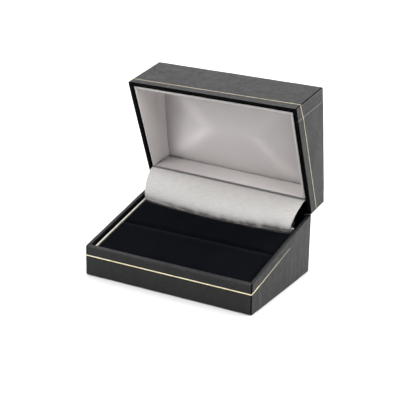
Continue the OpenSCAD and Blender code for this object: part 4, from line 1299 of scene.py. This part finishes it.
print("points along the section of a wall panel:", len(panel_rows(0.0, 0.0, 0.0)))


# %% Card behind the rear panel
def rear_card():
    """The rear panel's card. It stands a little askew, so it is made again here as a bevelled slab."""
    xs, half_t, mid = np.linspace(-HALF_W + 2.9, HALF_W - 2.9, 40), 0.4, 0.75
    outline = [(-half_t, 0.08), (-half_t + 0.08, 0.0), (half_t - 0.08, 0.0), (half_t, 0.08),
               (half_t, 1.0), (-half_t, 1.0), (-half_t, 0.08)]      # at up 1.0 is the card's top
    points = np.zeros((len(xs), len(outline), 3))
    for i, x in enumerate(xs):
        y = rear_face(x) + mid
        low = rim_z(y) + 1.1
        for j, (out, up) in enumerate(outline):
            points[i, j] = x, y + out, low + (up if up < 1.0 else 36.6 - low)
    piece = closed_below(grid_piece("rear_card", points, CARD, None, (0, 1, 0), turned=True))
    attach(piece, "lid")
    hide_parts("lining_card_rear")


rear_card()
print(f"rear card askew by {2 * HALF_W * REAR_SKEW:.1f} mm over the width of the box")


# %% Wall panels of the lining
def lining_panel(word, us, place, ends, faces_out):
    """place(u, inset, z) gives a point of the shut lid; ends are where the panel meets its neighbours."""
    points, painted_shade, lighter = [], [], []
    rear, lean = word == "rear", 1.1 if word in ("left", "right") else 0.0
    # Painted shade round the card's edge: deep on the rear panel
    under_edge = 0.95 if rear else 0.3
    for u in us:
        near = max(math.exp(-(u - ends[0]) / 0.9), math.exp(-(ends[1] - u) / 0.9))
        edge_z = rim_z(place(u, FACE, 0)[1]) + 0.5 / math.cos(SLOPE)
        rows = panel_rows(edge_z, near, lean)
        row = []
        for inset, z in rows:
            on_face = inset > FACE - 0.1
            ripple = 0.10 * noise.noise(Vector((u * 0.22, z * 0.08, len(word)))) if on_face else 0.0
            row.append(place(u, inset + ripple * (1 - near) - 0.3 * near * (inset > 3.0), z))
        points.append(row)
        # Painted highlight growing from the rear panel's left end, and even on the others; painted shade near
        # the rear panel's left end and in the corner creases
        across = (u - ends[0]) / (ends[1] - ends[0])
        lighter.append([0.95 * min(1.0, max(0.0, across) / 0.6) if rear else 0.55] * len(rows))
        shaded = 0.2 * math.exp(-max(0.0, u - ends[0]) / 9.0) if rear else 0.0
        painted_shade.append([shaded + 0.25 * near ** 2 if inset > FACE - 0.12 else under_edge for inset, _ in rows])
    marks = {"painted_shade": np.array(painted_shade), "painted_highlight": np.array(lighter)}
    piece = grid_piece(f"lining_{word}", np.array(points), LINING_SATIN, marks, faces_out, turned=True,
                       thick=0.25)
    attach(piece, "lid")
    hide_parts(f"satin_{word}")


def crowded(a, b, count):
    """Places from a to b, closer together at both ends."""
    t = np.linspace(0, 1, count)
    return a + (b - a) * (t - 0.14 * np.sin(2 * math.pi * t))


side_ends = (-HALF_D + FACE, rear_face(0) - 0.2)
front_ends = (-HALF_W + FACE, HALF_W - FACE)
long_us, side_us = crowded(-HALF_W + PANEL_END, HALF_W - PANEL_END, 90), crowded(*side_ends, 60)
lining_panel("front", long_us, lambda u, n, z: (u, -HALF_D + n, z), front_ends, (0, 1, 0))
lining_panel("left", side_us, lambda u, n, z: (-HALF_W + n, u, z), side_ends, (1, 0, 0))
lining_panel("right", side_us, lambda u, n, z: (HALF_W - n, u, z), side_ends, (-1, 0, 0))
lining_panel("rear", long_us, lambda u, n, z: (u, rear_face(u) + FACE - n, z), front_ends, (0, -1, 0))
print("lining panels wrap their cards at inset", FACE, "mm")

# %% [markdown]
# ## The padded roof of the lid
# The last panel has wadding under its satin. It is pushed in after the others, so its edges are
# held down and its middle swells. The corners pull the satin, and so a soft fold runs from each of
# them to the middle: together they make the pale cross of the photograph. The swell grows with the
# distance to the nearest edge, as a share of the width there, which makes four flat facets that
# meet on the diagonals, and a low rib is added along each diagonal. At last the cloth solver fills
# the panel out.
# The pale cross is painted as well: a painted highlight along the folds, and painted shade on the right-hand
# facet, near the left wall and along the edges.

# %% Shape of the roof panel
ROOF_CARD_Z = 37.7          # the card that the panel is glued to
ROOF_X, ROOF_FRONT = HALF_W - FACE - 0.1, -HALF_D + FACE + 0.1
SWELL_EDGE, SWELL_CROWN = 1.0, 5.4      # how far it swells at its edge, and how much more in the middle
SWELL_ROUND = 0.55          # the smaller, the sooner it flattens
RIB, RIB_WIDTH = 0.28, 2.6
HIP_X = 27.0                # the hips meet the ridge this far from the sides
FOLD_HIGHLIGHT = (0.45, 0.7, 0.12, 0.42)    # how strong the painted highlight along its folds is: left front and rear, right front and rear


def off_hip(x, y, back):
    """Distance from the nearest hip, and from the nearest corner."""
    a, b = ROOF_X - abs(x), min(y - ROOF_FRONT, back - y)
    half_depth = (back - ROOF_FRONT) / 2
    return (a * half_depth - b * HIP_X) / math.hypot(HIP_X, half_depth), math.hypot(a, b)


def roof_height(x, y, back, under):
    """How far the satin stands below the roof's card, drawn shut."""
    a, b, c = ROOF_X - abs(x), y - ROOF_FRONT, back - y
    half_depth, blend = (back - ROOF_FRONT) / 2, 0.05
    wide, front, rear = a / HIP_X, b / half_depth, c / half_depth
    d = -blend * math.log(math.exp(-wide / blend) + math.exp(-front / blend) + math.exp(-rear / blend))
    from_hip, corner = off_hip(x, y, back)
    height = SWELL_EDGE * (1 - 0.6 * math.exp(-corner / 4.0))
    height += SWELL_CROWN * (1 - math.exp(-max(d, 0) / SWELL_ROUND)) / (1 - math.exp(-1 / SWELL_ROUND))
    rib = RIB * math.exp(-(from_hip / RIB_WIDTH) ** 2)
    height += rib * min(1.0, corner / 6.0) * (1 - min(wide, 1.0) ** 4)
    angle = math.atan2(min(b, c), max(a, 1e-3))
    fan = math.sin(9 * angle + 2 * noise.noise(Vector((x * 0.1, y * 0.1, 1))))
    height += 0.16 * math.exp(-corner / 9.0) * fan * min(1, corner / 2)
    height += 0.12 * noise.noise(Vector((x / 16, y / 12, 2.0)))
    return max(0.12, height - under)


def roof_marks(x, y, front, back):
    """How much painted shade the satin gets, and how strong the painted highlight along its folds is."""
    from_hip, _ = off_hip(x, y, rear_face(x))
    # Painted shade: over the right-hand facet, and near the left wall as its shadow
    if x > 0:
        shaded = 0.13 / (1 + math.exp(min(40.0, from_hip / 1.6)))
    else:
        shaded = 0.16 * math.exp(-(ROOF_X + x) / 5.0)
    share = (ROOF_X - abs(x)) / HIP_X
    strength = FOLD_HIGHLIGHT[2 * (x > 0) + (y > (front + back) / 2)]
    wander = 1.2 * noise.noise(Vector((x / 9, y / 9, 8.0)))
    fades = min(1.0, max(0.0, (1.3 - share) / 0.5))
    return shaded, strength * math.exp(-((from_hip - wander) / 3.0) ** 2) * min(1.0, 0.25 + share) * fades


roof_mid = (ROOF_FRONT + rear_face(0)) / 2
print(f"roof panel stands {roof_height(0, roof_mid, rear_face(0), 0):.1f} mm below its card in the middle")

# %% Roof panel and its wadding
MOST_FILL = 0.35            # the solver moves the satin no further than this


def roof_piece(name, node, paint, under, slot):
    """The panel's satin, or what lies so far under it. Its edge is held, and it is closed at the card."""
    xs, vs = crowded(-1, 1, 110), crowded(0, 1, 72)
    points = np.zeros((len(xs) + 2, len(vs) + 2, 3))
    painted_shade, painted_highlight = np.zeros(points.shape[:2]), np.zeros(points.shape[:2])
    held = np.ones(points.shape[:2])
    held[2:-2, 2:-2] = 0.0
    for i, s in enumerate([xs[0], *xs, xs[-1]]):
        for j, t in enumerate([vs[0], *vs, vs[-1]]):
            x = s * (ROOF_X - under)
            back = rear_face(x) - 0.1 - under
            front = ROOF_FRONT + under
            y = front + (back - front) * t
            skirt = i in (0, len(xs) + 1) or j in (0, len(vs) + 1)
            z = ROOF_CARD_Z - 0.05 if skirt else ROOF_CARD_Z - roof_height(x, y, rear_face(x) - 0.1, under)
            points[i, j] = x, y, z
            at_edge = i in (1, len(xs)) or j in (1, len(vs))
            # Painted shade and painted highlight from roof_marks, with more painted shade along the edge and
            # on the skirt
            shaded, painted_highlight[i, j] = roof_marks(x, y, front, back)
            painted_shade[i, j] = 0.3 if skirt else (0.1 if at_edge else 0.0) + shaded
    marks = {"painted_shade": painted_shade, "painted_highlight": painted_highlight, "held": held}
    piece = closed_below(grid_piece(name, points, paint, marks, (0, 0, -1), turned=True))
    if slot == "lining_satin":
        settle(piece, [mark.value < 0.5 for mark in piece.data.attributes["held"].data], MOST_FILL)
    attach(piece, "lid")
    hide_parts(node)


def wadding_paint():
    """White matted fibres."""
    made, tree, shader = new_material("white_wadding", Roughness=1.0)
    place = place_on_object(tree)
    fibres = put(tree, "ShaderNodeTexNoise", None, Vector=place, Scale=900.0, Detail=5.0)
    coloured(tree, shader, mixed(tree, fibres.outputs[0], (0.6, 0.6, 0.58, 1), (0.9, 0.9, 0.88, 1)))
    bumped(tree, shader, fibres.outputs[0], 0.0004, 0.8)
    return made


roof_piece("lining_roof_pad", "satin_roof", LINING_SATIN, 0.0, "lining_satin")
roof_piece("lining_roof_wadding", "roof_wadding", wadding_paint(), 0.45, "wadding")
print("roof panel and wadding closed at the card, at height", ROOF_CARD_Z, "mm of the shut lid")

# %% [markdown]
# ## The hinge flap
# A loose strip of satin hides the hinge. It is glued behind the rear panel of the lining, rolls
# over the hinge in a soft curve, and is tucked in behind the rear pad. Its curve was measured from
# the photograph at the left edge and at its foot, so it is built along those lines, with gathers
# that grow towards the foot, and a dark crease above a paler hem. It is built only where the lid
# stands open: its upper end is laid on the open lid and its foot on the base.
# The dark crease is a shallow dent with painted shade in it. The hem below it gets less painted shade, and
# the folds of the gathers and the tucked end get painted shade too.

# %% Line of the flap
FLAP_X, FLAP_HALF = 38.0, 38.7          # its lines are laid out to FLAP_X, and its glued end is wider
NARROWS_LEFT, NARROWS_RIGHT = 0.8, 2.3  # how much each side draws in towards the foot


def opened(y, z):
    """Where a place on the shut lid stands when the lid is open."""
    a, b, c, s = y - HINGE_Y, z - HINGE_Z, math.cos(OPEN_ANGLE), math.sin(OPEN_ANGLE)
    return HINGE_Y + a * c + b * s, HINGE_Z - a * s + b * c


def flap_line(x):
    """The flap's section at x: from its glued end, over the roll, to its tuck."""
    y0 = rear_face(x) + 1.0
    z0 = rim_z(y0) + 0.5 - (0.35 + 0.5 * (x + 40) / 80)
    start, tab = opened(y0, z0), opened(y0 + 1.3, z0 + 5.0)
    foot_y, rolls_under = flap_foot(x), 0.15 + 1.05 / (1 + math.exp(-(x + 20) / 6))
    belly = (foot_y - rolls_under, rim_z(foot_y) + 0.4 + 0.5 * rolls_under)
    contact = (foot_y + 0.1, rim_z(foot_y) - 2.3)
    tuck = (foot_y + 0.6, rim_z(foot_y) - 6.0)
    line = [tab, ((tab[0] + start[0]) / 2, (tab[1] + start[1]) / 2)]
    for a in np.radians(np.linspace(0, 90, 32)):
        line.append((start[0] - (start[0] - belly[0]) * math.sin(a) ** 1.25,
                     belly[1] + (start[1] - belly[1]) * math.cos(a) ** 1.25))
    for a in np.radians(np.linspace(0, 90, 12)[1:]):
        line.append((contact[0] - (contact[0] - belly[0]) * math.cos(a),
                     belly[1] + (contact[1] - belly[1]) * math.sin(a) ** 1.1))
    for share in np.linspace(0, 1, 6)[1:]:
        line.append(tuple(contact[k] + (tuck[k] - contact[k]) * share for k in (0, 1)))
    return line


def flap_gather(x, share):
    """Gathers: none at the glued end, growing towards the foot, stronger right of the middle."""
    grow = min(1.0, max(0.0, share - 0.3) / 0.5) ** 2.2
    side = 0.35 + 0.65 / (1 + math.exp(-(x + 8) / 7))
    wave = noise.noise(Vector((x * 0.20, share * 1.1, 3.0)))
    wave += 0.6 * noise.noise(Vector((x * 0.48, share * 1.6, 9.0)))
    broad = 0.3 * math.sin(math.pi * share) * noise.noise(Vector((x * 0.045, 0.0, 6.0)))
    return 0.26 * grow * side * wave + broad


def foot_crease(x, share):
    """How deep the flap is creased above its foot, and how much painted shade it gets there: a hem below the
    crease gets less, and the tucked end gets it in full.
    """
    wavy = noise.noise(Vector((x * 0.13, 2.0, 2.0))) + 0.5 * noise.noise(Vector((x * 0.55, 5.0, 2.0)))
    low = 0.69 + 0.045 * wavy + 0.04 * math.exp(-((x - 4) / 10) ** 2)
    deep = math.exp(-((share - low - 0.075) / 0.03) ** 2)
    falls = min(1.0, max(0.0, share - low - 0.10) / 0.04)
    hem = 0.75 if x < 0 else 0.5
    pucker = max(0.0, 0.45 + 1.1 * noise.noise(Vector((x * 0.28, 8.0, 2.0))))
    soft = 0.5 * pucker * min(1.0, max(0.0, share - low + 0.07) / 0.14) ** 1.5
    crisp = min(1.0, max(0.0, share - low) / 0.08) ** 1.4 * (0.55 + 0.45 * min(1.0, 2 * pucker))
    dark = max(soft, crisp) * (1 - hem * falls)
    along = min(1.0, 0.45 + 1.3 * max(0.0, x / 38 + 0.8))
    tucked = min(1.0, max(0.0, share - 0.865) / 0.02)
    return deep * along, max(dark * along, tucked)


flap_length = sum(math.dist(a, b) for a, b in zip(flap_line(0), flap_line(0)[1:]))
print(f"flap at mid width is {flap_length:.1f} mm long from its glued end to its tuck")


# %% Satin flap
def make_flap():
    """Rows from side to side, each along its own line; out is how far a point stands off that line."""
    points, painted_shade = [], []
    for s in np.linspace(-1, 1, 170):
        row, marks = [], []
        x = s * FLAP_X
        line = flap_line(x)
        last = len(line) - 1
        narrows = NARROWS_RIGHT if s > 0 else NARROWS_LEFT
        for k, (y, z) in enumerate(line):
            share = k / last
            half = FLAP_HALF - narrows * max(0.0, share - 0.25) / 0.75
            before, after = line[max(k - 1, 0)], line[min(k + 1, last)]
            dy, dz = after[0] - before[0], after[1] - before[1]
            length = math.hypot(dy, dz)
            deep, dark = foot_crease(x, share)
            out = flap_gather(x, share) * (1 - max(0.0, share - 0.86) / 0.14) - 0.16 * deep
            frayed = 0.12 * noise.noise(Vector((share * 40, s * 2, 1))) if abs(s) > 0.995 else 0.0
            row.append((s * (half + frayed), y + out * dz / length, z - out * dy / length))
            # Painted shade in the folds of the gathers, and from foot_crease
            in_fold = max(0.0, -out / 0.22) * min(1.0, max(0.0, share - 0.45) / 0.2)
            marks.append(min(0.9, 0.22 * in_fold + 0.8 * dark))
        points.append(row)
        painted_shade.append(marks)
    marks = {"painted_shade": np.array(painted_shade)}
    piece = grid_piece("satin_flap", np.array(points), FLAP_SATIN, marks, (0, -1, 0.5), thick=0.22)
    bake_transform(piece)
    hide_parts("hinge_flap")
    return piece


flap = make_flap()
print("satin flap:", len(flap.data.polygons), "faces")

# %% [markdown]
# ## Close the lesson
# How far the new pieces reach past the imported model's size is printed.

# %% Sizes and finish
new_low, new_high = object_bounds()
grown = [(old - new) / MM for old, new in zip(cad_low, new_low)]
grown += [(new - old) / MM for old, new in zip(cad_high, new_high)]
print("grew by, mm:", [round(v, 2) for v in grown])
